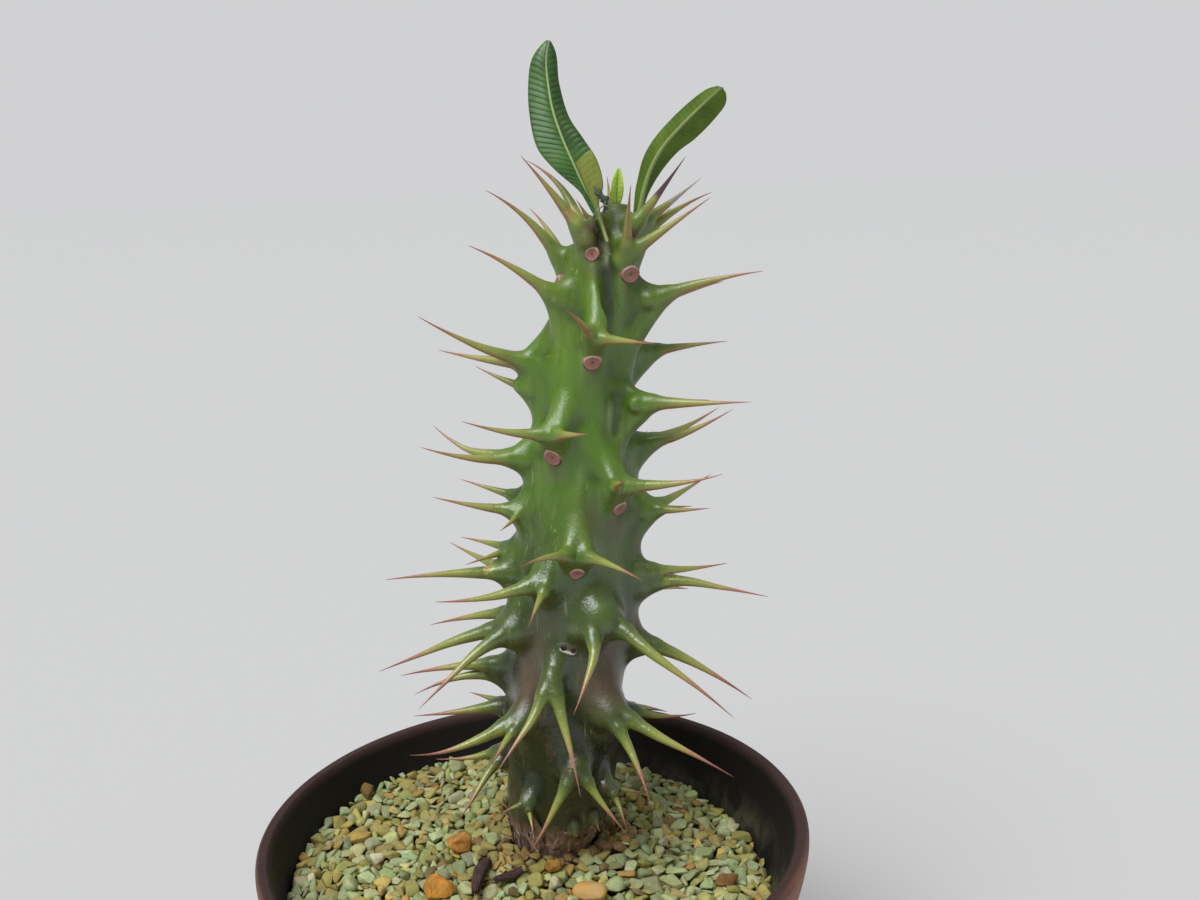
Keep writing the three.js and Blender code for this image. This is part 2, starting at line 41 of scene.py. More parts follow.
# ------------------------------------------------------------------ dimensions
POT_OUTER = [(33, 0), (36, 1.2), (41.4, 12), (46.4, 27), (51, 42), (55, 52), (58, 60), (59.8, 67.5), (60, 71.2), (59.3, 72)]
POT_INNER = [(57.6, 72), (56.9, 71.2), (56.2, 66), (55, 60), (52.4, 52), (48.2, 42), (43.2, 27), (38.4, 12), (35.4, 6.4)]
STEM_Y = 12.0
# height, axis x, radius without tubercles
STEM = np.array([
    [44, 2.1, 7.4], [50, 2.6, 7.6], [54, 3.2, 7.9], [57, 3.5, 8.3], [60.3, 3.9, 9.5], [64, 4.4, 11.0], [68, 4.9, 12.1],
    [74, 5.7, 12.7], [80, 6.5, 12.9], [88, 7.4, 13.0], [97, 8.3, 12.7], [107, 9.3, 12.1], [117, 10.5, 11.5], [124, 11.4, 11.2],
    [131, 12.3, 10.8], [140, 12.9, 10.1], [148, 13.5, 9.5], [156, 14.1, 9.0], [165, 15.3, 8.6], [172, 16.6, 8.2], [178, 17.7, 7.8],
    [185, 19.0, 7.4], [192, 20.2, 6.9], [196, 21.1, 5.7], [198.5, 22.1, 4.0], [200.5, 22.9, 3.0], [202.5, 23.3, 2.75], [204, 23.4, 2.75], [210, 23.4, 2.75]])

# tubercles: name, point where the thorns part, and for each thorn the points it runs through
TUBERCLES = [
    ('t01', (16.12, 5.7, 198.58), [[[10.5, 3.31, 206.57], [4.5, 0.7, 214.3]], [[12.17, 10.59, 207.4], [4.91, 14.7, 213.51]]]),
    ('t02', (11.76, 16.14, 192.22), [[[4.5, 14.29, 201.54], [-3.71, 12.14, 207.81]], [[8.23, 23.67, 198.93], [4.3, 29.14, 203.42]]]),
    ('t03', (10.42, 6.28, 185.63), [[[1.48, 4.33, 192.45], [-7.12, 2.28, 197.31]]]),
    ('t04', (24.75, 4.26, 193.9), [[[25.14, -0.06, 201.4], [25.8, -4.74, 207.95]], [[33.13, 2.26, 199.23], [41.62, 0.26, 204.79]]]),
    ('t05', (28.07, 16.55, 197.19), [[[36.0, 19.27, 201.99], [43.96, 21.55, 205.39]], [[35.63, 29.55, 202.16]]]),
    ('t06', (26.53, 7.04, 199.5), [[[31.28, 5.31, 205.31], [37.11, 3.04, 212.85]]]),
    ('t07', (28.3, 15.19, 199.52), [[[35.06, 17.16, 203.94], [41.67, 19.19, 208.61]]]),
    ('t08', (18.01, 5.63, 200.3), [[[15.04, 1.63, 205.44]]]),
    ('t09', (22.18, 17.79, 203.2), [[[21.61, 19.79, 209.62]]]),
    ('t10', (30.44, 8.57, 184.59), [[[40.76, 7.34, 187.58], [52.67, 5.57, 189.48]], [[46.21, 21.57, 186.35]]]),
    ('t11', (17.47, 0.01, 177.92), [[[14.88, -6.65, 182.05], [12.22, -12.99, 185.38]], [[23.54, -6.49, 177.94], [29.27, -12.99, 178.0]]]),
    ('t12', (28.6, 17.6, 172.08), [[[37.02, 16.69, 173.18], [46.21, 15.6, 174.03]]]),
    ('t13', (4.09, 11.6, 171.39), [[[-7.38, 8.07, 176.41], [-18.48, 4.6, 183.31]], [[-6.44, 16.05, 172.23], [-16.8, 20.6, 173.96]]]),
    ('t14', (2.96, 11.53, 166.07), [[[-3.03, 13.56, 168.35], [-8.42, 15.53, 170.87]]]),
    ('t15', (26.69, 4.85, 163.3), [[[38.6, 0.57, 163.61], [48.77, -3.15, 164.09]], [[34.39, 10.96, 162.27], [42.21, 16.85, 161.07]]]),
    ('t16', (27.21, 15.35, 152.18), [[[36.3, 18.76, 154.66], [44.71, 22.35, 158.36]], [[36.28, 12.9, 154.79], [46.46, 10.35, 160.14]]]),
    ('t17', (22.3, 21.96, 150.91), [[[29.17, 33.96, 151.06]]]),
    ('t18', (8.2, 1.26, 158.02), [[[-1.03, -1.38, 159.6], [-9.97, -3.74, 162.74]], [[12.7, -6.71, 159.55], [15.94, -12.74, 160.91]]]),
    ('t19', (0.85, 8.44, 151.76), [[[-9.93, 12.59, 152.8], [-14.61, 14.97, 154.91], [-18.63, 17.44, 157.91]], [[-9.44, 5.26, 152.94], [-19.54, 2.44, 156.38]]]),
    ('t20', (0.12, 15.18, 141.13), [[[-6.59, 17.59, 142.83], [-13.86, 20.18, 144.77]]]),
    ('t21', (0.26, 7.78, 140.23), [[[-8.94, 6.22, 142.17], [-18.16, 4.78, 144.94]], [[-1.57, 2.11, 139.51], [-3.52, -3.22, 139.22]]]),
    ('t22', (20.78, 1.14, 146.43), [[[34.0, -0.81, 147.24], [42.8, -1.86, 149.05]], [[22.43, -11.86, 150.98]]]),
    ('t23', (28.11, 10.9, 138.62), [[[34.06, 14.21, 140.64], [42.3, 18.9, 143.89]], [[34.43, 7.88, 138.98], [40.83, 4.9, 139.99]]]),
    ('t24', (26.02, 13.59, 137.95), [[[38.33, 21.59, 135.89]]]),
    ('t25', (-2.08, 12.4, 130.32), [[[-7.87, 16.2, 130.77], [-14.55, 20.4, 131.17]], [[-6.25, 9.18, 130.15], [-12.12, 4.4, 129.7]]]),
    ('t26', (-2.93, 8.42, 126.38), [[[-16.68, 5.43, 127.52], [-29.31, 2.42, 127.75]], [[-9.88, 14.22, 127.99], [-17.35, 20.42, 130.1]]]),
    ('t28', (4.61, -0.57, 126.43), [[[-6.39, -3.72, 125.15], [-17.68, -6.57, 125.58]], [[3.53, -7.66, 124.2], [2.12, -14.57, 122.37]]]),
    ('t29', (-3.25, 19.56, 112.97), [[[-12.76, 22.01, 111.49], [-23.72, 24.56, 108.76]]]),
    ('t30', (12.07, -1.77, 132.68), [[[6.73, -7.97, 134.71], [3.68, -11.96, 135.29], [1.09, -15.77, 135.21]], [[16.83, -6.26, 132.86], [21.2, -11.0, 132.33], [25.18, -15.77, 131.48]]]),
    ('t31', (25.44, 9.52, 125.25), [[[35.18, 10.89, 124.6], [45.07, 12.52, 125.03]], [[34.63, 23.52, 118.93]]]),
    ('t32', (26.26, 10.9, 121.5), [[[34.61, 10.04, 122.13], [43.68, 8.56, 120.64], [53.29, 6.9, 118.74]], [[37.2, 24.9, 114.91]]]),
    ('t33', (-4.89, 4.79, 114.44), [[[-15.6, 5.77, 111.97], [-24.69, 6.31, 108.4], [-33.18, 6.79, 105.04]], [[-11.04, 0.56, 110.67], [-17.23, -4.11, 106.32], [-22.44, -8.21, 102.54]]]),
    ('t34', (-6.39, 16.06, 102.07), [[[-18.86, 18.24, 100.7], [-30.88, 20.06, 98.21]]]),
    ('t35', (-6.27, 18.13, 98.71), [[[-16.63, 17.51, 98.44], [-27.3, 16.13, 95.07]]]),
    ('t36', (-6.25, 20.62, 89.84), [[[-10.97, 26.21, 89.01], [-16.7, 32.62, 87.91]], [[-18.55, 18.87, 89.17], [-28.18, 17.62, 89.18]]]),
    ('t37', (17.49, -2.44, 116.75), [[[14.78, -7.0, 112.91], [12.73, -12.18, 108.37], [10.15, -17.44, 104.12]], [[26.48, -5.72, 112.31], [36.01, -9.97, 105.7], [43.17, -13.44, 100.1]]]),
    ('t38', (25.83, 10.75, 108.16), [[[33.73, 9.98, 104.56], [41.37, 9.01, 100.09], [49.63, 7.75, 94.29]]]),
    ('t39', (21.15, 20.07, 87.87), [[[29.24, 18.8, 86.09], [37.85, 18.07, 86.81]], [[26.51, 26.27, 84.74], [31.82, 32.07, 80.74]]]),
    ('t40', (5.3, -3.5, 105.3), [[[1.42, -7.77, 99.47], [-2.37, -11.52, 95.36], [-6.47, -15.66, 90.93]], [[7.66, -7.73, 98.26], [9.34, -11.83, 92.28], [10.94, -16.66, 85.29]]]),
    ('t42', (-2.58, -0.78, 95.37), [[[-10.06, -3.38, 93.24], [-18.22, -6.04, 91.68], [-25.17, -7.78, 92.19]], [[-4.37, -4.65, 93.61], [-6.31, -8.58, 91.99], [-8.38, -12.78, 90.39]]]),
    ('t43', (-7.6, 20.43, 78.24), [[[-15.13, 21.17, 76.39], [-24.62, 22.43, 75.64]], [[-11.72, 15.86, 74.38], [-15.06, 11.49, 70.54], [-18.31, 7.43, 67.18]]]),
    ('t45', (18.9, -1.74, 96.5), [[[21.53, -6.44, 90.59], [23.77, -10.03, 85.89], [25.33, -13.74, 80.96]], [[27.63, -4.97, 92.82], [36.24, -8.06, 88.91], [43.28, -10.74, 85.4]]]),
    ('t46', (9.92, -2.77, 83.81), [[[5.17, -5.99, 77.96], [1.78, -8.73, 72.82], [-1.31, -10.77, 69.21]], [[13.86, -5.26, 79.77], [17.13, -7.56, 75.95], [20.36, -9.77, 72.36]]]),
    ('t47', (16.92, 1.12, 77.81), [[[18.74, -1.41, 74.77], [20.24, -4.88, 70.43]], [[24.92, 4.12, 74.58]]]),
    ('t48', (-1.47, -0.4, 75.83), [[[-4.65, -2.4, 75.9], [-7.17, -4.4, 75.22]], [[-0.6, -3.18, 73.26], [0.05, -6.4, 70.32]]]),
    ('t49', (8.79, -0.17, 68.9), [[[9.18, -1.37, 67.39]]]),
    ('t50', (13.09, 1.59, 70.63), [[[14.31, -0.91, 68.35]]]),
    ('t51', (15.7, 8.6, 199.6), [[[14.0, 9.5, 206.0]]]),
    ('b01', (20.04, 22.25, 193.0), [[[21.19, 26.27, 195.4], [22.34, 30.29, 198.1]], [[18.83, 26.45, 196.35], [17.62, 30.66, 200.0]]]),
    ('b02', (19.73, 22.94, 184.0), [[[22.19, 29.78, 186.94], [24.64, 36.62, 190.29]], [[18.85, 29.44, 186.9], [17.97, 35.94, 190.22]]]),
    ('b03', (16.0, 23.89, 175.0), [[[16.8, 31.45, 177.57], [17.61, 39.01, 180.61]], [[13.6, 31.25, 176.69], [11.2, 38.61, 178.87]]]),
    ('b04', (17.04, 24.63, 167.0), [[[20.19, 33.93, 169.4], [23.35, 43.23, 172.4]], [[14.95, 35.6, 168.69], [12.87, 46.57, 170.98]]]),
    ('b05', (13.63, 24.89, 156.0), [[[15.61, 35.37, 156.87], [17.6, 45.85, 158.3]], [[10.34, 33.58, 157.28], [7.05, 42.26, 159.13]]]),
    ('b06', (14.95, 25.15, 146.0), [[[18.1, 34.39, 145.55], [21.24, 43.63, 145.7]], [[13.73, 35.46, 146.83], [12.5, 45.77, 148.27]]]),
    ('b07', (11.37, 25.65, 137.0), [[[12.78, 36.25, 136.52], [14.18, 46.85, 136.63]], [[8.0, 36.29, 136.59], [4.63, 46.93, 136.77]]]),
    ('b08', (12.93, 26.18, 129.0), [[[16.79, 36.45, 129.96], [20.64, 46.73, 129.72]], [[11.16, 35.65, 128.75], [9.39, 45.12, 127.31]]]),
    ('b09', (9.27, 26.86, 121.0), [[[10.71, 35.92, 121.03], [12.14, 44.97, 119.92]], [[5.57, 36.48, 120.22], [1.88, 46.1, 118.3]]]),
    ('b10', (10.51, 27.41, 113.0), [[[13.11, 37.71, 110.26], [15.71, 48.0, 106.31]], [[8.67, 37.72, 111.22], [6.82, 48.03, 108.25]]]),
    ('b11', (12.28, 27.45, 104.0), [[[16.19, 35.66, 99.35], [20.09, 43.86, 93.51]], [[12.06, 36.39, 100.73], [11.83, 45.32, 96.26]]]),
    ('b12', (5.41, 27.95, 97.0), [[[6.27, 36.15, 92.15], [7.13, 44.34, 86.11]], [[1.35, 36.29, 91.19], [-2.72, 44.63, 84.19]]]),
    ('b13', (9.13, 28.25, 90.0), [[[12.33, 37.02, 84.17], [15.52, 45.79, 77.14]], [[8.06, 35.8, 83.78], [6.99, 43.35, 76.36]]]),
    ('b14', (4.63, 28.21, 81.0), [[[5.27, 34.31, 76.34], [5.92, 40.42, 70.73]], [[2.79, 33.85, 76.02], [0.96, 39.5, 70.08]]]),
    ('b15', (9.43, 27.45, 75.0), [[[11.48, 31.24, 70.91], [13.53, 35.03, 66.11]], [[9.38, 32.65, 70.99], [9.34, 37.84, 66.25]]]),
]


def gravel_height(x, y):
    d2 = (x - 3.3) ** 2 + (y - STEM_Y) ** 2
    return 56.4 - 0.075 * x + 0.06 * y + 5.2 * np.exp(-d2 / 26.0**2)


# --------------------------------------------------------------------- helpers
def hash3(i, j, k, seed):
    h = (i * 374761393 + j * 668265263 + k * 1274126177 + seed * 974634777) & 0xFFFFFFFF
    h = ((h ^ (h >> 13)) * 1274126177) & 0xFFFFFFFF
    return ((h ^ (h >> 16)) & 0xFFFFFF) / float(0xFFFFFF)


def value_noise(p, scale, seed=0):
    """Smooth noise from -1 to 1 at points p (n,3), with cells of the given size."""
    q = p / scale + 1000.0
    i = np.floor(q).astype(np.int64)
    f = q - i
    f = f * f * (3 - 2 * f)
    out = 0.0
    for a in (0, 1):
        for b in (0, 1):
            for c in (0, 1):
                w = (f[..., 0] if a else 1 - f[..., 0]) * (f[..., 1] if b else 1 - f[..., 1]) * (f[..., 2] if c else 1 - f[..., 2])
                out = out + w * hash3(i[..., 0] + a, i[..., 1] + b, i[..., 2] + c, seed)
    return out * 2 - 1


def fractal(p, scale, octaves=3, seed=0):
    return sum(value_noise(p, scale / 2**o, seed + 17 * o) / 2**o for o in range(octaves))


def smooth(a, b, x):
    t = np.clip((x - a) / (b - a), 0, 1)
    return t * t * (3 - 2 * t)


def catmull(points, n):
    """n points along a smooth curve through the given ones, evenly by chord."""
    P = np.array(points, float)
    if len(P) == 2:
        t = np.linspace(0, 1, n)[:, None]
        return P[0] * (1 - t) + P[1] * t
    d = np.r_[0, np.cumsum(np.linalg.norm(np.diff(P, axis=0), axis=1))]
    # cubic Hermite with chord-length tangents
    m = np.empty_like(P)
    m[1:-1] = (P[2:] - P[:-2]) / (d[2:] - d[:-2])[:, None]
    m[0] = 2 * (P[1] - P[0]) / (d[1] - d[0]) - m[1]
    m[-1] = 2 * (P[-1] - P[-2]) / (d[-1] - d[-2]) - m[-2]
    x = np.linspace(0, d[-1], n)
    k = np.clip(np.searchsorted(d, x, side="right") - 1, 0, len(P) - 2)
    h = (d[k + 1] - d[k])[:, None]
    t = (x[:, None] - d[k][:, None]) / h
    return ((2 * t**3 - 3 * t**2 + 1) * P[k] + (t**3 - 2 * t**2 + t) * h * m[k]
            + (-2 * t**3 + 3 * t**2) * P[k + 1] + (t**3 - t**2) * h * m[k + 1])


def make_mesh(name, V, faces, attrs=None, smooth_shade=True, materials=()):
    """A mesh object from vertices in mm and a list of (m,k) face arrays."""
    if isinstance(faces, np.ndarray):
        faces = [faces]
    faces = [np.asarray(f, np.int32) for f in faces if len(f)]
    me = bpy.data.meshes.new(name)
    me.vertices.add(len(V))
    me.vertices.foreach_set("co", (np.asarray(V, float) * 0.001).astype(np.float32).ravel())
    loops = np.concatenate([f.ravel() for f in faces])
    sizes = np.concatenate([np.full(len(f), f.shape[1], np.int32) for f in faces])
    starts = np.r_[0, np.cumsum(sizes)[:-1]].astype(np.int32)
    me.loops.add(len(loops))
    me.loops.foreach_set("vertex_index", loops)
    me.polygons.add(len(sizes))
    me.polygons.foreach_set("loop_start", starts)
    me.update(calc_edges=True)
    me.polygons.foreach_set("use_smooth", np.full(len(sizes), bool(smooth_shade)))
    for key, val in (attrs or {}).items():
        val = np.asarray(val, np.float32)
        if val.ndim == 2:
            a = me.attributes.new(key, "FLOAT_COLOR", "POINT")
            if val.shape[1] == 3:
                val = np.c_[val, np.ones(len(val), np.float32)]
            a.data.foreach_set("color", val.astype(np.float32).ravel())
        else:
            a = me.attributes.new(key, "FLOAT", "POINT")
            a.data.foreach_set("value", val.ravel())
    ob = bpy.data.objects.new(name, me)
    scene.collection.objects.link(ob)
    for m in materials:
        me.materials.append(m)
    return ob


class Tree:
    """Short way to write a material's nodes."""

    def __init__(self, name):
        self.mat = bpy.data.materials.new(name)
        self.mat.use_nodes = True
        self.t = self.mat.node_tree
        self.t.nodes.clear()
        self.out = self.t.nodes.new("ShaderNodeOutputMaterial")
        self.bsdf = self.t.nodes.new("ShaderNodeBsdfPrincipled")
        self.t.links.new(self.bsdf.outputs[0], self.out.inputs[0])

    def _in(self, node, key, value):
        s = node.inputs[key]
        if hasattr(value, "is_output"):
            self.t.links.new(value, s)
        else:
            s.default_value = value

    def node(self, kind, props=None, **inputs):
        n = self.t.nodes.new(kind)
        for k, v in (props or {}).items():
            setattr(n, k, v)
        for k, v in inputs.items():
            key = int(k[1:]) if k[0] == "i" and k[1:].isdigit() else k.replace("_", " ")
            self._in(n, key, v)
        return n

    def set(self, **inputs):
        for k, v in inputs.items():
            self._in(self.bsdf, k.replace("_", " "), v)

    def pos(self):
        return self.node("ShaderNodeTexCoord").outputs["Object"]

    def scaled(self, vec, s):
        return self.node("ShaderNodeVectorMath", {"operation": "MULTIPLY"}, i0=vec, i1=s if hasattr(s, "__len__") else (s, s, s)).outputs[0]

    def noise(self, vec, scale, detail=3.0, rough=0.55, out="Fac", distortion=0.0):
        return self.node("ShaderNodeTexNoise", Vector=vec, Scale=scale, Detail=detail, Roughness=rough, Distortion=distortion).outputs[out]

    def voronoi(self, vec, scale, feature="F1", out="Distance", rnd=1.0):
        return self.node("ShaderNodeTexVoronoi", {"feature": feature}, Vector=vec, Scale=scale, Randomness=rnd).outputs[out]

    def attr(self, name, out="Fac"):
        return self.node("ShaderNodeAttribute", {"attribute_name": name}).outputs[out]

    def math(self, op, a, b=0.0, c=0.0, clamp=False):
        return self.node("ShaderNodeMath", {"operation": op, "use_clamp": clamp}, i0=a, i1=b, i2=c).outputs[0]

    def ramp(self, fac, lo, hi, a=0.0, b=1.0, smooth_step=True):
        n = self.node("ShaderNodeMapRange", {"interpolation_type": "SMOOTHSTEP" if smooth_step else "LINEAR", "clamp": True},
                      i0=fac, i1=lo, i2=hi, i3=a, i4=b)
        return n.outputs[0]

    def mix(self, fac, a, b, mode="MIX"):
        n = self.node("ShaderNodeMix", {"data_type": "RGBA", "blend_type": mode, "clamp_factor": True})
        self._in(n, 0, fac)
        self._in(n, 6, a)
        self._in(n, 7, b)
        return n.outputs[2]

    def bump(self, height, strength, distance, normal=None):
        n = self.node("ShaderNodeBump", Strength=strength, Distance=distance, Height=height)
        if normal is not None:
            self._in(n, "Normal", normal)
        return n.outputs[0]


def srgb(r, g, b):
    """An 8-bit screen colour as linear light."""
    def lin(v):
        v = v / 255.0
        return v / 12.92 if v <= 0.04045 else ((v + 0.055) / 1.055) ** 2.4
    return (lin(r), lin(g), lin(b), 1.0)


# ------------------------------------------------------------------------ stem
_zs = np.linspace(40, 214, 697)


def _smoothed(col, width=9):
    v = np.interp(_zs, STEM[:, 0], STEM[:, col])
    k = np.hanning(2 * width + 1)
    return np.convolve(np.pad(v, width, mode="edge"), k / k.sum(), "valid")


_ax, _rad = _smoothed(1, 8), _smoothed(2, 7)


def stem_x(z):
    return np.interp(z, _zs, _ax)


def stem_r(z):
    return np.interp(z, _zs, _rad)


def smin(a, b, k):
    h = np.maximum(k - np.abs(a - b), 0.0) / k
    return np.minimum(a, b) - h * h * h * k / 6.0


def smax(a, b, k):
    return -smin(-a, -b, k)


def capsule(P, a, b, ra, rb):
    """Distance to a cone with round ends; also the place along it, 0 to 1."""
    ab = b - a
    t = np.clip(((P - a) @ ab) / max(ab @ ab, 1e-9), 0, 1)
    return np.linalg.norm(P - a - t[..., None] * ab, axis=-1) - (ra + t * (rb - ra)), t


def thorn_facts(at, points, name=""):
    """Path from inside the tubercle to the tip, the arc length at each point and the root radius."""
    A = root_place(name, at, points)
    first = np.array(points[0], float) - A
    inner = A - first / np.linalg.norm(first) * 1.5
    path = catmull([inner, A, *points], 60)
    arc = np.r_[0, np.cumsum(np.linalg.norm(np.diff(path, axis=0), axis=1))] - 1.5
    length = arc[-1]
    root = float(np.clip(0.40 + 0.068 * length, 0.40, 1.95))
    return path, arc, length, root


def root_place(name, at, points):
    """Where a thorn leaves its swelling; on a broad one the two stand apart."""
    A = np.array(at, float)
    gap = SPLIT.get(name, 0.0)
    if not gap:
        return A
    out = np.array([A[0] - stem_x(A[2]), A[1] - STEM_Y, 0])
    out /= np.linalg.norm(out)
    side = np.array([-out[1], out[0], 0])
    # apart in the direction in which the thorns of the pair go apart
    both = [np.array(s[0], float) - A for n, _, sp in TUBERCLES if n == name for s in sp]
    both = [v / np.linalg.norm(v) for v in both]
    away = both[0] - both[-1]
    away -= out * (away @ out)
    away[2] *= 0.5
    away /= np.linalg.norm(away)
    mine = (np.array(points[0], float) - A)
    near = np.argmin([np.linalg.norm(mine / np.linalg.norm(mine) - v) for v in both])
    return A + away * gap * (1 if near == 0 else -1) - out * 0.10 * gap**2


def thorn_radius(arc, length, root):
    s = np.clip(arc / length, 0, 1)
    return root * (0.78 * (1 - s) ** 1.75 + 0.22 * (1 - s) ** 0.8) + 0.035


def thorn_end(rr, arc, root):
    """Where along a thorn its thick root, moulded into the skin, gives way to the slim outer part."""
    return float(np.clip(np.interp(-1.0, -rr, arc) if root > 1.05 else 1.0, 1.0, 6.0))


# outline of single swellings, where it shows: reach above and below
SLOPES = {
    "t10": (2.0, 14.5), "t12": (2.0, 10.0), "t15": (1.5, 10.5), "t16": (1.5, 9.5), "t13": (12.0, 8.0), "t14": (4.0, 9.0), "t19": (6.5, 6.0),
    "t03": (4.0, 13.0), "t02": (3.0, 12.0), "t05": (1.5, 13.0), "t04": (3.0, 9.0), "t01": (2.5, 9.0), "t06": (1.5, 4.0), "t07": (1.5, 4.0),
    "t08": (1.5, 4.0), "t09": (0.8, 5.0), "t11": (13.0, 7.0), "t18": (11.0, 6.0), "t22": (9.0, 8.0), "t30": (10.0, 5.0),
    "t28": (8.0, 5.0), "t37": (10.0, 4.5), "t40": (8.5, 3.0), "t45": (8.5, 3.5), "t46": (5.0, 2.0), "t31": (8.0, 7.0), "t33": (8.0, 5.0),
    "t49": (1.5, 0.8), "t50": (2.5, 1.0), "t48": (3.0, 2.0), "t47": (4.0, 2.0),
}


# broader, flatter swellings, and slimmer ones near the growing tip
BROAD = {"t37": 1.4, "t45": 1.35, "t40": 0.85, "t33": 1.6, "t28": 1.35, "t46": 1.1, "t30": 1.2, "t42": 1.25, "t22": 1.15, "t21": 1.2, "t31": 1.25, "t32": 1.25, "t38": 1.2}
SLIM = {"t01": 0.66, "t04": 0.74, "t05": 0.9, "t06": 0.62, "t07": 0.62, "t08": 0.6, "t09": 0.6, "t02": 0.85, "t51": 0.6}
SPLIT = {"t37": 2.9, "t45": 1.0, "t40": 0.5, "t33": 1.2, "t28": 0.9, "t46": 1.0, "t30": 1.2, "t42": 0.9, "t22": 0.5, "t43": 0.7}


# scars left by fallen leaves, and one old wound: place, radius, kind
SCARS = [
    (17.76, 4.9, 194.34, 1.42, "scar", (-0.15, -1, 0.1)), (24.7, 5.0, 191.1, 2.0, "scar", (0.25, -1, 0.1)), (11.9, 9.3, 187.5, 2.0, "scar", (-1, -0.8, 0.1)),
    (16.9, 2.75, 173.64, 1.85, "scar", (0, -1, -0.05)), (8.1, 3.2, 153.02, 1.9, "scar", (-0.35, -1, 0.0)), (20.47, 3.2, 141.93, 1.85, "scar", (0.35, -1, -0.35)),
    (11.91, 0.2, 129.58, 1.5, "scar", (0, -1, -0.75)),
    (17.5, 21.5, 180.5, 1.8, "scar", None), (12.5, 21.8, 161.5, 1.9, "scar", None), (16.5, 22.5, 141.0, 1.8, "scar", None), (8.5, 23.3, 125.5, 1.6, "scar", None),
    (9.2, -0.57, 111.6, 1.85, "wound", None),
]


CRESTS = []
# valleys between the ribs: points along the skin, radius, depth
GROOVES = [
    ([(20.1, 198.0), (20.4, 194.0), (20.6, 189.0), (20.8, 184.0), (21.0, 178.0)], 1.8, -0.25),
    ([(21.2, 176.0), (21.0, 170.0), (20.6, 164.5), (19.8, 158.0)], 2.6, -0.50),
]
# extra fullness over the parting of a pair: up, inwards, radius
SWELLS = {"t37": (1.8, 3.6, 4.7), "t33": (-0.4, 3.4, 4.3), "t28": (1.0, 3.4, 4.0), "t45": (0.4, 3.8, 4.1), "t42": (-0.6, 3.4, 3.5), "t30": (1.0, 3.2, 3.4), "t32": (1.2, 3.4, 3.8)}


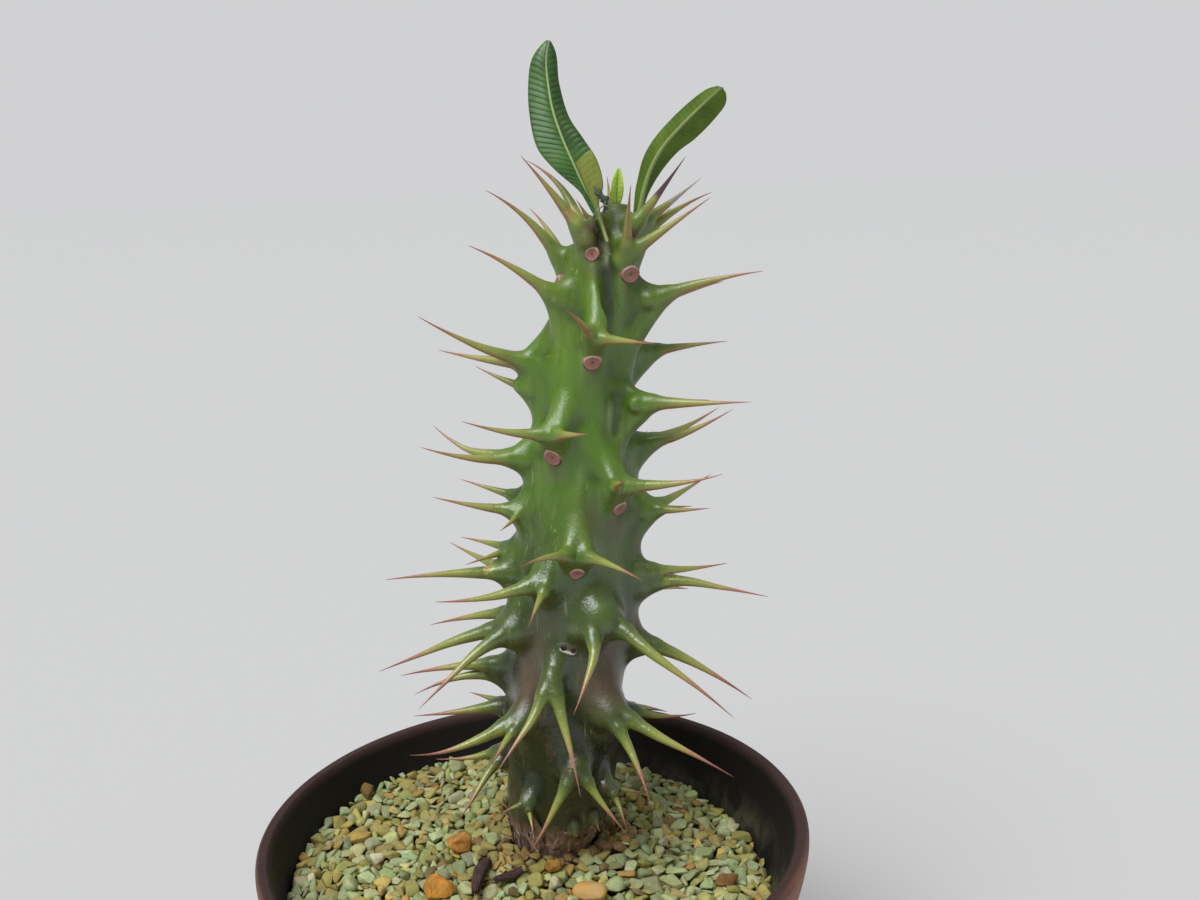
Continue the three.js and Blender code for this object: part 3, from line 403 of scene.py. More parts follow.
def stem_field(h):
    lo = np.array([-18.5, -13.5, 47.0])
    hi = np.array([40.5, 38.5, 211.0])
    n = np.ceil((hi - lo) / h).astype(int) + 1
    gx, gy, gz = (lo[i] + h * np.arange(n[i]) for i in range(3))
    X, Y, Z = np.meshgrid(gx, gy, gz, indexing="ij")
    X, Y, Z = X.astype(np.float32), Y.astype(np.float32), Z.astype(np.float32)
    cx, cr = stem_x(gz).astype(np.float32), stem_r(gz).astype(np.float32)
    body = np.sqrt((X - cx) ** 2 + (Y - STEM_Y) ** 2) - cr + 0.42
    # rounded growing tip
    body = smax(body, Z - 203.9 + 0.12 * (X - 23.6), 0.6)
    spikes = np.full(body.shape, 1e3, np.float32)

    def window(pts, pad):
        a = np.clip(np.floor((np.min(pts, 0) - pad - lo) / h).astype(int), 0, n - 1)
        b = np.clip(np.ceil((np.max(pts, 0) + pad - lo) / h).astype(int) + 1, 1, n)
        return tuple(slice(a[i], b[i]) for i in range(3))

    for name, at, spines in TUBERCLES:
        A = np.array(at, float)
        ax = np.array([stem_x(A[2]), STEM_Y, A[2]])
        rho = np.hypot(A[0] - ax[0], A[1] - ax[1])
        out = np.array([A[0] - ax[0], A[1] - ax[1], 0]) / max(rho, 1e-6)
        side = np.array([-out[1], out[0], 0])
        cr0 = float(stem_r(A[2]))
        mean = sum((np.array(s[-1]) - A) / np.linalg.norm(np.array(s[-1]) - A) for s in spines)
        mean = mean / np.linalg.norm(mean)
        el = math.asin(float(np.clip(mean[2], -0.75, 0.75)))
        longest = max(np.linalg.norm(np.array(s[-1]) - A) for s in spines)
        size = float(np.clip(0.38 + 0.032 * longest, 0.4, 1.0)) * SLIM.get(name, 1.0)
        young = A[2] > 126
        up = np.array([0, 0, 1.0])
        # how far above and below the point where the thorns part the swelling meets the stem again
        rise = float(np.interp(el, [-0.6, -0.1, 0.15, 0.5], [12.0, 8.0, 6.5, 4.5]))
        drop = float(np.interp(el, [-0.6, -0.1, 0.15, 0.5], [3.0, 6.5, 10.0, 13.0]))
        rise, drop = SLOPES.get(name, (rise * size, drop * size))
        top = min(A[2] + rise, 201.5)
        low = A[2] - drop
        broad = BROAD.get(name, 1.0)
        tight = float(np.clip((cr0 - 2.0) / 5.0, 0.35, 1.0))
        r_top, r_low, r_head = (2.5 if young else 2.2) * size + 0.5, 1.9 * size + 0.5, (1.6 if el > -0.25 else 1.9) * size
        r_top, r_low = min(r_top, 0.75 * float(stem_r(top))), min(r_low, 0.75 * float(stem_r(low)))
        foot_a = np.array([stem_x(top), STEM_Y, top]) + out * (float(stem_r(top)) - r_top + (0.3 * size if young else -0.35))
        foot_b = np.array([stem_x(low), STEM_Y, low]) + out * (float(stem_r(low)) - r_low + (0.45 * size if young else 0.15))
        head_a = A - out * 1.35 * size + up * (0.1 if el > -0.25 else 0.5) * size
        head_b = A - out * 1.7 * size - up * 0.9 * size
        heart = ax + out * cr0 * 0.55 - up * (math.tan(el) * 0.35 * rho)
        w = window([foot_a, foot_b, A, heart], 8.5)
        P = np.stack([X[w], Y[w], Z[w]], -1)
        upper, _ = capsule(P, foot_a, head_a, r_top, r_head)
        lower, _ = capsule(P, foot_b, head_b, r_low, r_head * 0.85)
        core, _ = capsule(P, heart, A - out * (1.1 * size + 1.2 * (broad - 1)), min(5.1 * size * broad, 0.62 * cr0 if cr0 < 8 else 99.0), 1.95 * size * broad)
        gap = SPLIT.get(name, 0.0)
        if gap > 0.7:
            roots = [root_place(name, at, s[:1]) - out * (1.7 + 0.3 * gap) - up * 0.35 * gap for s in spines]
            r_brow = r_head * 1.1 + (0.2 if young else 0.42) * gap
            brow, _ = capsule(P, roots[0] - out * 0.25 * gap + up * 0.25 * gap, roots[-1] - out * 0.25 * gap + up * 0.25 * gap, r_brow, r_brow)
            core = smin(core, brow, 3.0)
        if name in SWELLS:
            u_, in_, r_ = SWELLS[name]
            c_ = A + up * u_ - out * in_
            full_, _ = capsule(P, c_, c_ - out * 3.0 + up * 1.0, r_, r_ * 0.85)
            core = smin(core, full_, 2.5)
        fin = smin(smin(upper, lower, 2.4 * size + 0.4), core, 2.2 * size + 0.3)
        # the root of each thorn runs up and down into the swelling like the back of a fin
        for s in spines:
            path, arc, length, root = thorn_facts(at, s, name)
            pa = np.array([np.interp(1.6 * size, arc, path[:, i]) for i in range(3)])
            pb = np.array([np.interp(2.6 * size, arc, path[:, i]) for i in range(3)])
            ra, _ = capsule(P, foot_a * 0.55 + head_a * 0.45, pa, r_top * 0.8, root * 0.88)
            rb, _ = capsule(P, foot_b * 0.6 + head_b * 0.4, pb, r_low * 0.8, root * 0.80)
            fin = smin(fin, smin(ra, rb, 1.6) if young else rb, 1.6)
        body[w] = smin(body[w], fin.astype(np.float32), ((5.2 if young else 4.6) * size + 0.7) * (0.5 + 0.5 * broad) * tight)
        # the ridge fades out further up
        if size > 0.75 and rise > 5 and A[2] > 126:
            fade = min(top + 9.0, 199.0)
            foot_c = np.array([stem_x(fade), STEM_Y, fade]) + out * (float(stem_r(fade)) - 3.0 - 0.15)
            w = window([foot_a, foot_c], 7.0)
            P = np.stack([X[w], Y[w], Z[w]], -1)
            keel, _ = capsule(P, foot_a, foot_c, r_top - 0.1, 3.1)
            body[w] = smin(body[w], keel.astype(np.float32), 3.2)
            CRESTS.append((foot_a + out * (r_top - 0.1), foot_c + out * 3.1))
        for s in spines:
            path, arc, length, root = thorn_facts(at, s, name)
            rr = thorn_radius(np.maximum(arc, 0), length, root)
            end = thorn_end(rr, arc, root)
            fade = np.clip((arc - end) / 2.4, 0, 1)
            rs = rr * (1 - fade**1.5) - 0.25 * fade
            keep = arc <= end + 2.4
            idx = np.nonzero(keep)[0][::2]
            w = window(path[idx], 3.0)
            P = np.stack([X[w], Y[w], Z[w]], -1)
            d = np.full(P.shape[:-1], 1e3)
            for i, j in zip(idx[:-1], idx[1:]):
                dd, _ = capsule(P, path[i], path[j], rs[i], rs[j])
                d = np.minimum(d, dd)
            spikes[w] = np.minimum(spikes[w], d.astype(np.float32))
    for line, radius, depth in GROOVES:
        pts = []
        for gx_, gz_ in line:
            dx = gx_ - float(stem_x(gz_))
            pts.append([gx_, STEM_Y - math.sqrt(max((float(stem_r(gz_)) + 0.1) ** 2 - dx * dx, 0.1)), gz_])
        pts = np.array(pts)
        for a_, b_ in zip(pts[:-1], pts[1:]):
            front = np.array([0.5 * (a_[0] + b_[0]) - float(stem_x(0.5 * (a_[2] + b_[2]))), 0.5 * (a_[1] + b_[1]) - STEM_Y, 0])
            front /= np.linalg.norm(front)
            w = window([a_, b_], 4.5)
            P = np.stack([X[w], Y[w], Z[w]], -1)
            cut, _ = capsule(P, a_ + front * (radius - depth), b_ + front * (radius - depth), radius, radius)
            body[w] = smax(body[w], -cut.astype(np.float32), 2.2)
    for x, y, z, r, kind, facing in SCARS:
        if kind != "scar" or facing is None:
            continue
        at, face = np.array([x, y, z]), np.array(facing, float)
        face /= np.linalg.norm(face)
        w = window([at], 7.0)
        P = np.stack([X[w], Y[w], Z[w]], -1)
        pad, _ = capsule(P, at - face * (r + 0.2), at - face * (r + 2.5) + np.array([0, 0, 0.8]), r * 1.12, r * 1.3)
        body[w] = smin(body[w], pad.astype(np.float32), 1.8)
    return lo, n, (gx, gy, gz), body, spikes


def surface_nets(F, lo, h):
    """Quads on the zero surface of the grid F, negative inside."""
    S = F < 0
    c = sum(S[a: S.shape[0] - 1 + a, b: S.shape[1] - 1 + b, d: S.shape[2] - 1 + d].astype(np.int8)
            for a in (0, 1) for b in (0, 1) for d in (0, 1))
    act = (c > 0) & (c < 8)
    index = np.full(act.shape, -1, np.int32)
    cells = np.argwhere(act)
    index[act] = np.arange(len(cells))
    pos = np.zeros((len(cells), 3))
    cnt = np.zeros(len(cells))
    corner = [(a, b, d) for a in (0, 1) for b in (0, 1) for d in (0, 1)]
    val = {k: F[cells[:, 0] + k[0], cells[:, 1] + k[1], cells[:, 2] + k[2]] for k in corner}
    for k in corner:
        for ax in range(3):
            if k[ax]:
                continue
            m = list(k)
            m[ax] = 1
            fa, fb = val[k], val[tuple(m)]
            cross = (fa < 0) != (fb < 0)
            t = np.where(cross, fa / np.where(cross, fa - fb, 1), 0)
            p = np.tile(np.array(k, float), (len(cells), 1))
            p[:, ax] += t
            pos += np.where(cross[:, None], p, 0)
            cnt += cross
    V = lo + h * (cells + pos / cnt[:, None])
    quads = []
    for ax in range(3):
        o = [i for i in range(3) if i != ax]
        a = [slice(None)] * 3
        b = [slice(None)] * 3
        a[ax], b[ax] = slice(0, -1), slice(1, None)
        for i in o:
            a[i] = slice(1, -1)
            b[i] = slice(1, -1)
        sa, sb = S[tuple(a)], S[tuple(b)]
        for flip in (False, True):
            e = np.argwhere((sa & ~sb) if not flip else (~sa & sb))
            if not len(e):
                continue
            base = e.copy()
            for i in o:
                base[:, i] += 1
            corners = []
            for du, dv in ((0, 0), (1, 0), (1, 1), (0, 1)):
                q = base.copy()
                q[:, o[0]] -= du
                q[:, o[1]] -= dv
                corners.append(index[q[:, 0], q[:, 1], q[:, 2]])
            f = np.stack(corners, 1)
            turn = flip != (ax == 1)
            quads.append(f[:, ::-1] if turn else f)
    return V, np.concatenate(quads)


def sample(F, lo, h, V):
    """Value and gradient of the grid F at points V."""
    q = (V - lo) / h
    i = np.clip(np.floor(q).astype(int), 0, np.array(F.shape) - 2)
    f = q - i
    c = {}
    for a in (0, 1):
        for b in (0, 1):
            for d in (0, 1):
                c[a, b, d] = F[i[:, 0] + a, i[:, 1] + b, i[:, 2] + d].astype(float)
    fx, fy, fz = f.T
    x00 = c[0, 0, 0] * (1 - fx) + c[1, 0, 0] * fx
    x10 = c[0, 1, 0] * (1 - fx) + c[1, 1, 0] * fx
    x01 = c[0, 0, 1] * (1 - fx) + c[1, 0, 1] * fx
    x11 = c[0, 1, 1] * (1 - fx) + c[1, 1, 1] * fx
    y0, y1 = x00 * (1 - fy) + x10 * fy, x01 * (1 - fy) + x11 * fy
    v = y0 * (1 - fz) + y1 * fz
    gz = y1 - y0
    gy = (x10 - x00) * (1 - fz) + (x11 - x01) * fz
    gx = (((c[1, 0, 0] - c[0, 0, 0]) * (1 - fy) + (c[1, 1, 0] - c[0, 1, 0]) * fy) * (1 - fz)
          + ((c[1, 0, 1] - c[0, 0, 1]) * (1 - fy) + (c[1, 1, 1] - c[0, 1, 1]) * fy) * fz)
    return v, np.stack([gx, gy, gz], 1) / h


# brown dried skin, and painted shade in the valleys and on the flank turned from the light: centre, radius, strength
BROWN = [(17.96, 6.0, 198.8, 3.4, 1.15), (25.2, 4.8, 187.9, 1.8, 0.5), (17.8, 4.6, 192.0, 1.7, 0.45), (17.0, 2.6, 171.2, 2.0, 0.5), (8.3, 3.0, 150.6, 2.2, 0.5), (26.3, 6.6, 197.3, 1.7, 1.2), (28.0, 11.0, 192.0, 2.2, 0.6), (15.06, 1.31, 139.5, 3.2, 0.45), (-0.61, 3.01, 103.4, 6.0, 0.95),
         (16.81, 1.52, 103.3, 6.2, 0.95), (1.8, 0.6, 112.0, 3.2, 0.7), (18.5, 2.6, 108.0, 5.0, 0.85), (20.47, 4.19, 137.5, 3.2, 0.6), (6.0, 1.4, 117.5, 3.0, 0.35), (24.8, 11.0, 131.0, 3.0, 0.6), (23.5, 9.0, 112.0, 3.2, 0.5),
         (24.6, 2.5, 196.0, 1.6, 0.5), (-4.5, 9.0, 122.0, 3.0, 0.5), (-5.5, 11.0, 93.0, 4.0, 0.5), (21.0, 6.0, 84.0, 4.0, 0.5), (10.0, 24.0, 108.0, 5.0, 0.4), (16.0, 23.0, 93.0, 4.5, 0.4)]
SHADE_SPOTS = [(29.4, 11.3, 181.8, 3.0, 0.45), (27.8, 9.0, 176.0, 3.6, 0.45), (24.5, 6.5, 172.0, 3.4, 0.35), (23.6, 7.0, 166.0, 3.4, 0.45), (23.4, 7.5, 157.0, 4.2, 0.55), (22.6, 7.4, 150.0, 3.4, 0.5), (23.4, 8.6, 128.0, 3.4, 0.3), (23.6, 8.0, 203.4, 2.6, 0.75), (23.3, 6.6, 200.4, 2.2, 0.55), (20.6, 4.6, 198.0, 1.7, 1.0), (20.5, 4.5, 194.8, 2.1, 1.0), (20.5, 4.4, 191.1, 2.4, 1.0), (20.5, 4.4, 187.3, 2.2, 0.9), (20.7, 4.4, 183.5, 2.0, 0.7), (27.8, 10.0, 190.0, 2.6, 0.8), (22.3, 4.0, 196.8, 2.0, 0.6), (20.8, 5.6, 199.5, 1.6, 0.9), (19.6, 3.3, 165.0, 2.4, 0.35), (20.0, 3.0, 158.0, 2.6, 0.35), (26.0, 6.6, 184.0, 2.2, 0.5)]


def blobs(V, table):
    out = np.zeros(len(V))
    for x, y, z, r, k in table:
        d = np.linalg.norm((V - (x, y, z)) * (1, 1, 0.7), axis=1) / r
        out = np.maximum(out, k * np.clip(1.35 - d, 0, 1))
    return out


def shell(G, N, thick):
    """A closed thin sheet over a grid of points (m,n,3) with normals; thickness in mm."""
    m_, n_ = G.shape[:2]
    th = np.full((m_, n_, 1), thick / 2.0)
    th[0], th[-1], th[:, 0], th[:, -1] = thick / 8, thick / 8, thick / 8, thick / 8
    V = np.concatenate([(G + N * th).reshape(-1, 3), (G - N * th).reshape(-1, 3)])
    i, j = np.meshgrid(np.arange(m_ - 1), np.arange(n_ - 1), indexing="ij")
    i, j = i.ravel(), j.ravel()
    F1 = np.stack([i * n_ + j, i * n_ + j + 1, (i + 1) * n_ + j + 1, (i + 1) * n_ + j], 1)
    off = m_ * n_
    loop = np.r_[np.arange(n_ - 1), n_ - 1 + n_ * np.arange(m_ - 1), (m_ - 1) * n_ + np.arange(n_ - 1, 0, -1), n_ * np.arange(m_ - 1, 0, -1)]
    nxt = np.roll(loop, -1)
    F2 = np.stack([loop, loop + off, nxt + off, nxt], 1)
    return V, np.concatenate([F1, F1[:, ::-1] + off, F2])


def tube(path, radii, sides=7):
    path = np.asarray(path, float)
    T = np.gradient(path, axis=0)
    T /= np.linalg.norm(T, axis=1)[:, None]
    ref = np.array([0.3, 0.5, 0.81])
    U = np.cross(T, ref)
    U /= np.linalg.norm(U, axis=1)[:, None]
    W = np.cross(U, T)
    ang = np.arange(sides) / sides * 2 * np.pi
    R = np.asarray(radii, float)[:, None, None]
    V = (path[:, None] + (np.cos(ang)[None, :, None] * U[:, None] + np.sin(ang)[None, :, None] * W[:, None]) * R).reshape(-1, 3)
    V = np.vstack([V, path[0] - T[0] * radii[0] * 0.4, path[-1] + T[-1] * radii[-1] * 0.4])
    n_, k = len(path), np.arange(sides)
    F = [np.stack([i * sides + k, i * sides + (k + 1) % sides, (i + 1) * sides + (k + 1) % sides, (i + 1) * sides + k], 1) for i in range(n_ - 1)]
    a, b = n_ * sides, n_ * sides + 1
    last = (n_ - 1) * sides
    F.append(np.stack([k, np.full(sides, a), np.full(sides, a), (k + 1) % sides], 1))
    F.append(np.stack([last + k, last + (k + 1) % sides, np.full(sides, b), np.full(sides, b)], 1))
    return V, F


def quads_to_tris(F):
    F = np.concatenate(F) if isinstance(F, list) else F
    t = np.concatenate([F[:, [0, 1, 2]], F[:, [0, 2, 3]]])
    ok = (t[:, 0] != t[:, 1]) & (t[:, 1] != t[:, 2]) & (t[:, 0] != t[:, 2])
    return t[ok]


def loose_bits(full, lo, h):
    """Fringed dry skin round the foot, and the withered leaf remains at the tip."""
    out = []
    rng = np.random.default_rng(41)
    browns = [srgb(132, 102, 86), srgb(168, 138, 120), srgb(192, 166, 148), srgb(104, 76, 62), srgb(150, 118, 100)]
    for k in range(150):
        a = rng.uniform(0, 2 * np.pi)
        z = rng.uniform(56.5, 66.5) if k % 3 else rng.uniform(62.5, 67.5)
        c = np.array([float(stem_x(z)), STEM_Y, z])
        d = np.array([math.cos(a), math.sin(a), 0])
        p = (c + d * float(stem_r(z)))[None]
        for _ in range(8):
            v, g = sample(full, lo, h, p)
            p = p - np.clip(v, -0.8, 0.8)[:, None] * g / max((g * g).sum(), 0.05)
        nrm = g[0] / max(np.linalg.norm(g[0]), 1e-6)
        tang = np.cross([0, 0, 1.0], nrm)
        tang /= np.linalg.norm(tang)
        upv = np.cross(nrm, tang)
        way = 1 if rng.uniform() < 0.65 else -1
        L, Wd = rng.uniform(1.2, 4.2), rng.uniform(0.5, 2.0)
        slant = rng.normal() * 0.25
        liftk = rng.uniform(0.15, 0.85)
        m_, n_ = 6, 4
        u, v_ = np.meshgrid(np.linspace(0, 1, m_), np.linspace(-1, 1, n_), indexing="ij")
        ragged = 1 + rng.normal(size=(1, n_)) * 0.22
        narrow = 1 - 0.5 * u**1.5
        G = (p[0] + nrm * 0.02 + (upv * way + tang * slant) * (u * L * ragged)[..., None] + tang * (v_ * Wd / 2 * narrow)[..., None]
             + nrm * (liftk * u**2 - 0.12 * (v_**2) - 0.05)[..., None])
        pts = G.reshape(-1, 3)
        # never under the skin except at the root
        val, _ = sample(full, lo, h, pts)
        G = (pts + nrm * np.maximum(0.04 - val, 0)[:, None] * 1.0).reshape(G.shape)
        N = np.tile(nrm, (m_, n_, 1))
        V, F = shell(G, N, 0.14)
        col = np.array(browns[rng.integers(len(browns))][:3]) * rng.uniform(0.75, 1.15)
        out.append((V, quads_to_tris(F), col))
    # crumpled dark remains of a young leaf, and a pale dry thread with a side branch
    m_, n_ = 12, 7
    u, v_ = np.meshgrid(np.linspace(0, 1, m_), np.linspace(-1, 1, n_), indexing="ij")
    path = catmull([(20.7, 3.9, 202.7), (20.9, 3.4, 204.4), (20.3, 3.0, 205.7), (19.3, 3.1, 206.5), (18.7, 3.4, 207.6)], m_)
    width = 0.80 * np.sin(np.pi * np.clip(u * 0.86 + 0.12, 0, 1)) ** 0.7 * (1 + 0.35 * np.sin(u * 19))
    G = path[:, None] + np.stack([v_ * width * 0.85, 0.55 * np.cos(v_ * 2.4 + u * 5.0) * width, v_ * width * 0.40 + 0.26 * np.sin(u * 14 + v_ * 3)], -1)
    dsu, dsv = np.gradient(G, axis=0), np.gradient(G, axis=1)
    N = np.cross(dsu, dsv)
    N /= np.linalg.norm(N, axis=-1, keepdims=True)
    V, F = shell(G, N, 0.22)
    tone = 0.5 + 0.5 * value_noise(V, 0.8, 6)[:, None]
    out.append((V, quads_to_tris(F), np.array(srgb(34, 54, 34)[:3]) * (1 - tone) + np.array(srgb(92, 116, 80)[:3]) * tone))
    for pts, r0 in (([(21.6, 3.4, 203.6), (20.4, 2.9, 203.9), (19.4, 2.8, 203.1), (18.6, 2.9, 202.4), (18.0, 3.1, 201.4)], 0.19), ([(19.4, 2.8, 203.1), (19.2, 2.6, 201.9), (18.6, 2.7, 201.2)], 0.15),
                    ([(20.4, 2.9, 203.9), (20.9, 2.9, 204.9), (20.5, 2.8, 205.9)], 0.14)):
        path = catmull(pts, 12)
        V, F = tube(path, np.linspace(r0, r0 * 0.55, 12))
        out.append((V, quads_to_tris(F), np.array(srgb(136, 140, 120)[:3])))
    return out


def build_stem(mat):
    h = 0.47
    lo, n, (gx, gy, gz), body, spikes = stem_field(h)
    full = smin(body, spikes, 1.8)
    # slow lumps and fine lengthwise ribs in the skin, none on the thorns
    near = np.abs(full) < 1.6
    P = np.stack(np.meshgrid(gx, gy, gz, indexing="ij"), -1)[near]
    lump = 0.16 * fractal(P * np.array([1, 1, 0.6]), 6.0, 3, 5)
    calm = smooth(0.2, 2.2, spikes[near])
    rough_foot = 0.42 * fractal(P * np.array([1, 1, 0.32]), 1.9, 2, 77) * smooth(68.5, 63.0, P[:, 2])
    full[near] -= ((lump + rough_foot) * calm).astype(np.float32)
    V, Q = surface_nets(full, lo, h)
    for _ in range(2):
        v, g = sample(full, lo, h, V)
        V -= np.clip(v / np.maximum((g * g).sum(1), 0.05), -0.4, 0.4)[:, None] * g
    sb, _ = sample(body, lo, h, V)
    sp, _ = sample(spikes, lo, h, V)
    thornness = np.clip(0.5 + (sb - sp) / 1.6, 0, 1)
    # outer parts of the thorns
    VV, FF, TH, LEN = [V], [Q], [thornness], [np.zeros(len(V))]
    base = len(V)
    place = np.zeros(len(V))
    under_of, dry, dry2 = [], [np.zeros(len(V))], [np.zeros(len(V))]
    for name, at, spines in TUBERCLES:
        for s in spines:
            path, arc, length, root = thorn_facts(at, s, name)
            rr = thorn_radius(np.maximum(arc, 0), length, root)
            near = np.nonzero(np.linalg.norm(V - np.array(at), axis=1) < 14)[0]
            if len(near):
                dd = np.linalg.norm(V[near][:, None] - path[None, ::3], axis=2)
                k = dd.argmin(1)
                close = dd[np.arange(len(near)), k] < 3.2
                sv = np.clip(arc[::3][k] / length, 0, 1)
                place[near[close]] = np.maximum(place[near[close]], sv[close])
            a0 = thorn_end(rr, arc, root) - 1.5
            rings, sides = 26, 10
            t = np.linspace(0, 1, rings) ** 0.9
            at_arc = a0 + (length - a0) * t
            C = np.stack([np.interp(at_arc, arc, path[:, i]) for i in range(3)], 1)
            R = thorn_radius(np.maximum(at_arc, 0), length, root)
            R = R - 0.22 * (1 - smooth(0, 1.5, at_arc - a0))
            T = np.gradient(C, axis=0)
            T /= np.linalg.norm(T, axis=1)[:, None]
            ref = np.array([0, 0, 1.0]) if abs(T[0][2]) < 0.9 else np.array([1.0, 0, 0])
            U = np.cross(T, ref)
            U /= np.linalg.norm(U, axis=1)[:, None]
            W = np.cross(U, T)
            ang = np.arange(sides) / sides * 2 * np.pi
            ring = (C[:, None] + (np.cos(ang)[None, :, None] * U[:, None] + np.sin(ang)[None, :, None] * W[:, None]) * R[:, None, None])
            tv = ring[:-1].reshape(-1, 3)
            tip = C[-1] + T[-1] * 0.05
            VV.append(np.vstack([tv, tip]))
            k = np.arange(sides)
            quads = []
            for r in range(rings - 2):
                a = base + r * sides + k
                b = base + r * sides + (k + 1) % sides
                quads.append(np.stack([a, b, b + sides, a + sides], 1)[:, ::-1])
            FF.append(np.concatenate(quads))
            last = base + (rings - 2) * sides
            FF.append(np.stack([last + k, last + (k + 1) % sides, np.full(sides, base + len(tv))], 1)[:, ::-1])
            FF.append((base + k)[None, :])
            base += len(tv) + 1
            TH.append(np.ones(len(tv) + 1))
            nz = (np.cos(ang)[None] * U[:, 2:3] + np.sin(ang)[None] * W[:, 2:3])[:-1].ravel()
            under_of.append(np.r_[np.clip(-nz, 0, 1), 0])
            av = np.r_[np.repeat(at_arc[:-1] / length, sides), 1.0]
            dry.append(smooth(0.40, 0.48, av) if name in ("t06", "t07") else smooth(0.0, 0.2, av) if name == "t51" else 0 * av)
            dry2.append(np.full(len(av), 1.0 if name == "t07" else 0.5 if name == "t51" else 0.0))
            LEN.append(np.r_[np.repeat(np.clip(at_arc[:-1] / length, 0, 1), sides), 1.0])
    LEN[0] = place
    scar_v = [np.full(len(v), 2.0) for v in VV]
    scar_up = [np.zeros(len(v)) for v in VV]
    pit_shade = [np.zeros(len(v)) for v in VV]
    pale = [np.zeros(len(v)) for v in VV]
    is_scar = [np.zeros(len(v)) for v in VV]
    is_wound = [np.zeros(len(v)) for v in VV]
    for k, (sx, sy, sz, sr, kind, facing) in enumerate(SCARS):
        rng = np.random.default_rng(500 + k)
        p = np.array([[sx, sy, sz]])
        for _ in range(12):
            v, g = sample(full, lo, h, p)
            p = p - v[:, None] * g / max((g * g).sum(), 0.05)
        ring_pts = p + rng.normal(size=(60, 3)) * sr * 0.5
        _, gs = sample(full, lo, h, ring_pts)
        nrm = gs.mean(0) / np.linalg.norm(gs.mean(0))
        if facing is not None:
            nrm = 0.4 * nrm + 0.6 * np.array(facing) / np.linalg.norm(facing)
            nrm /= np.linalg.norm(nrm)
        u = np.cross(nrm, [0, 0, 1.0])
        u /= np.linalg.norm(u)
        w_ = np.cross(nrm, u)
        rho_ = np.array([0.0, 0.12, 0.26, 0.42, 0.58, 0.70, 0.78, 0.86, 0.93, 1.0, 1.08, 1.18])
        if kind == "scar":
            hh = np.array([-0.02, 0.0, 0.05, 0.07, 0.08, 0.11, 0.17, 0.22, 0.19, 0.09, -0.06, -1.10]) * (0.5 + sr * 0.28)
        else:
            hh = np.array([0.05, 0.05, 0.06, 0.07, 0.08, 0.10, 0.10, 0.08, 0.05, 0.01, -0.08, -0.40])
        m_ = 40
        th = np.arange(m_) / m_ * 2 * np.pi
        wav = 1 + 0.05 * np.sin(2 * th + rng.uniform(0, 6)) + 0.015 * np.sin(5 * th + rng.uniform(0, 6)) + (0.10 * np.sin(3 * th + 1) if kind == "wound" else 0)
        pts = [p[0] + nrm * hh[0]]
        sc, lift, b1, p1 = [0.0], [0.0], [0.0], [0.0]
        stretch = (1.35, 0.75, -0.5) if kind == "wound" else (1.0, 1.0, 0.0)
        for r_, h_ in zip(rho_[1:], hh[1:]):
            jig = rng.normal(size=m_) * 0.012 * sr
            du, dw = r_ * wav * np.cos(th) * stretch[0], r_ * wav * np.sin(th) * stretch[1]
            du, dw = du * math.cos(stretch[2]) - dw * math.sin(stretch[2]), du * math.sin(stretch[2]) + dw * math.cos(stretch[2])
            plane = p[0] + sr * (du[:, None] * u + dw[:, None] * w_)
            # follow the skin, then stand off it
            flat = plane
            for _ in range(3):
                v, g = sample(full, lo, h, flat)
                flat = flat - np.clip(v, -0.8, 0.8)[:, None] * nrm
            if kind == "scar":
                up_ = (flat - plane) @ nrm
                for _ in range(4):
                    up_ = (np.roll(up_, 1) + 2 * up_ + np.roll(up_, -1)) / 4
                up_ = np.maximum(up_, up_.mean() - 0.16)
                flat = plane + nrm * np.maximum(up_ - 0.02, 0.4 * up_ + 0.6 * up_.mean())[:, None]
            hole = np.maximum(1 - np.hypot((du - 0.55) * 0.8, dw + 0.28) / 0.36, 1 - np.hypot(du + 0.52, dw - 0.22) / 0.36)
            rag = 0.5 + 0.5 * value_noise(plane, 0.55, 40)
            fringe = np.clip(1 - np.abs(dw + 0.5 * du - 0.34) / 0.26, 0, 1) * smooth(0.95, 0.7, np.hypot(du * 0.75, dw)) * (0.4 + rag)
            if kind == "wound":
                jig = jig - 0.05 * np.clip(hole * 1.6, 0, 1) + 0.10 * fringe
            pts += list(flat + nrm * (h_ + jig)[:, None])
            sc += [r_] * m_
            lift += list(-dw)
            b1 += list(np.clip(hole * 2.5, 0, 1))
            p1 += list(fringe)
        pts = np.array(pts)
        j_ = np.arange(m_)
        FF.append(np.stack([np.full(m_, base), base + 1 + j_, base + 1 + (j_ + 1) % m_], 1))
        for r_ in range(len(rho_) - 2):
            a_ = base + 1 + r_ * m_
            FF.append(np.stack([a_ + j_, a_ + m_ + j_, a_ + m_ + (j_ + 1) % m_, a_ + (j_ + 1) % m_], 1))
        a_ = base + 1 + (len(rho_) - 2) * m_
        FF.append((a_ + j_[::-1])[None, :])
        VV.append(pts)
        TH.append(np.zeros(len(pts)))
        LEN.append(np.zeros(len(pts)))
        under_of.append(np.zeros(len(pts)))
        dry.append(np.zeros(len(pts)))
        dry2.append(np.zeros(len(pts)))
        scar_v.append(np.array(sc))
        scar_up.append(np.array(lift))
        pit_shade.append(np.array(b1))
        pale.append(np.array(p1))
        is_scar.append(np.full(len(pts), float(kind == "scar")))
        is_wound.append(np.full(len(pts), float(kind == "wound")))
        base += len(pts)
    n_plain = len(VV)
    tints = []
    for pv, pf, tint in loose_bits(full, lo, h):
        VV.append(pv)
        FF.append(pf + base)
        base += len(pv)
        tints.append(np.tile(np.array(tint[:3]), (len(pv), 1)) if np.ndim(tint) == 1 else np.asarray(tint)[:, :3])
        for rows in (TH, LEN, under_of, dry, dry2, scar_up, pit_shade, pale, is_scar, is_wound):
            rows.append(np.zeros(len(pv)))
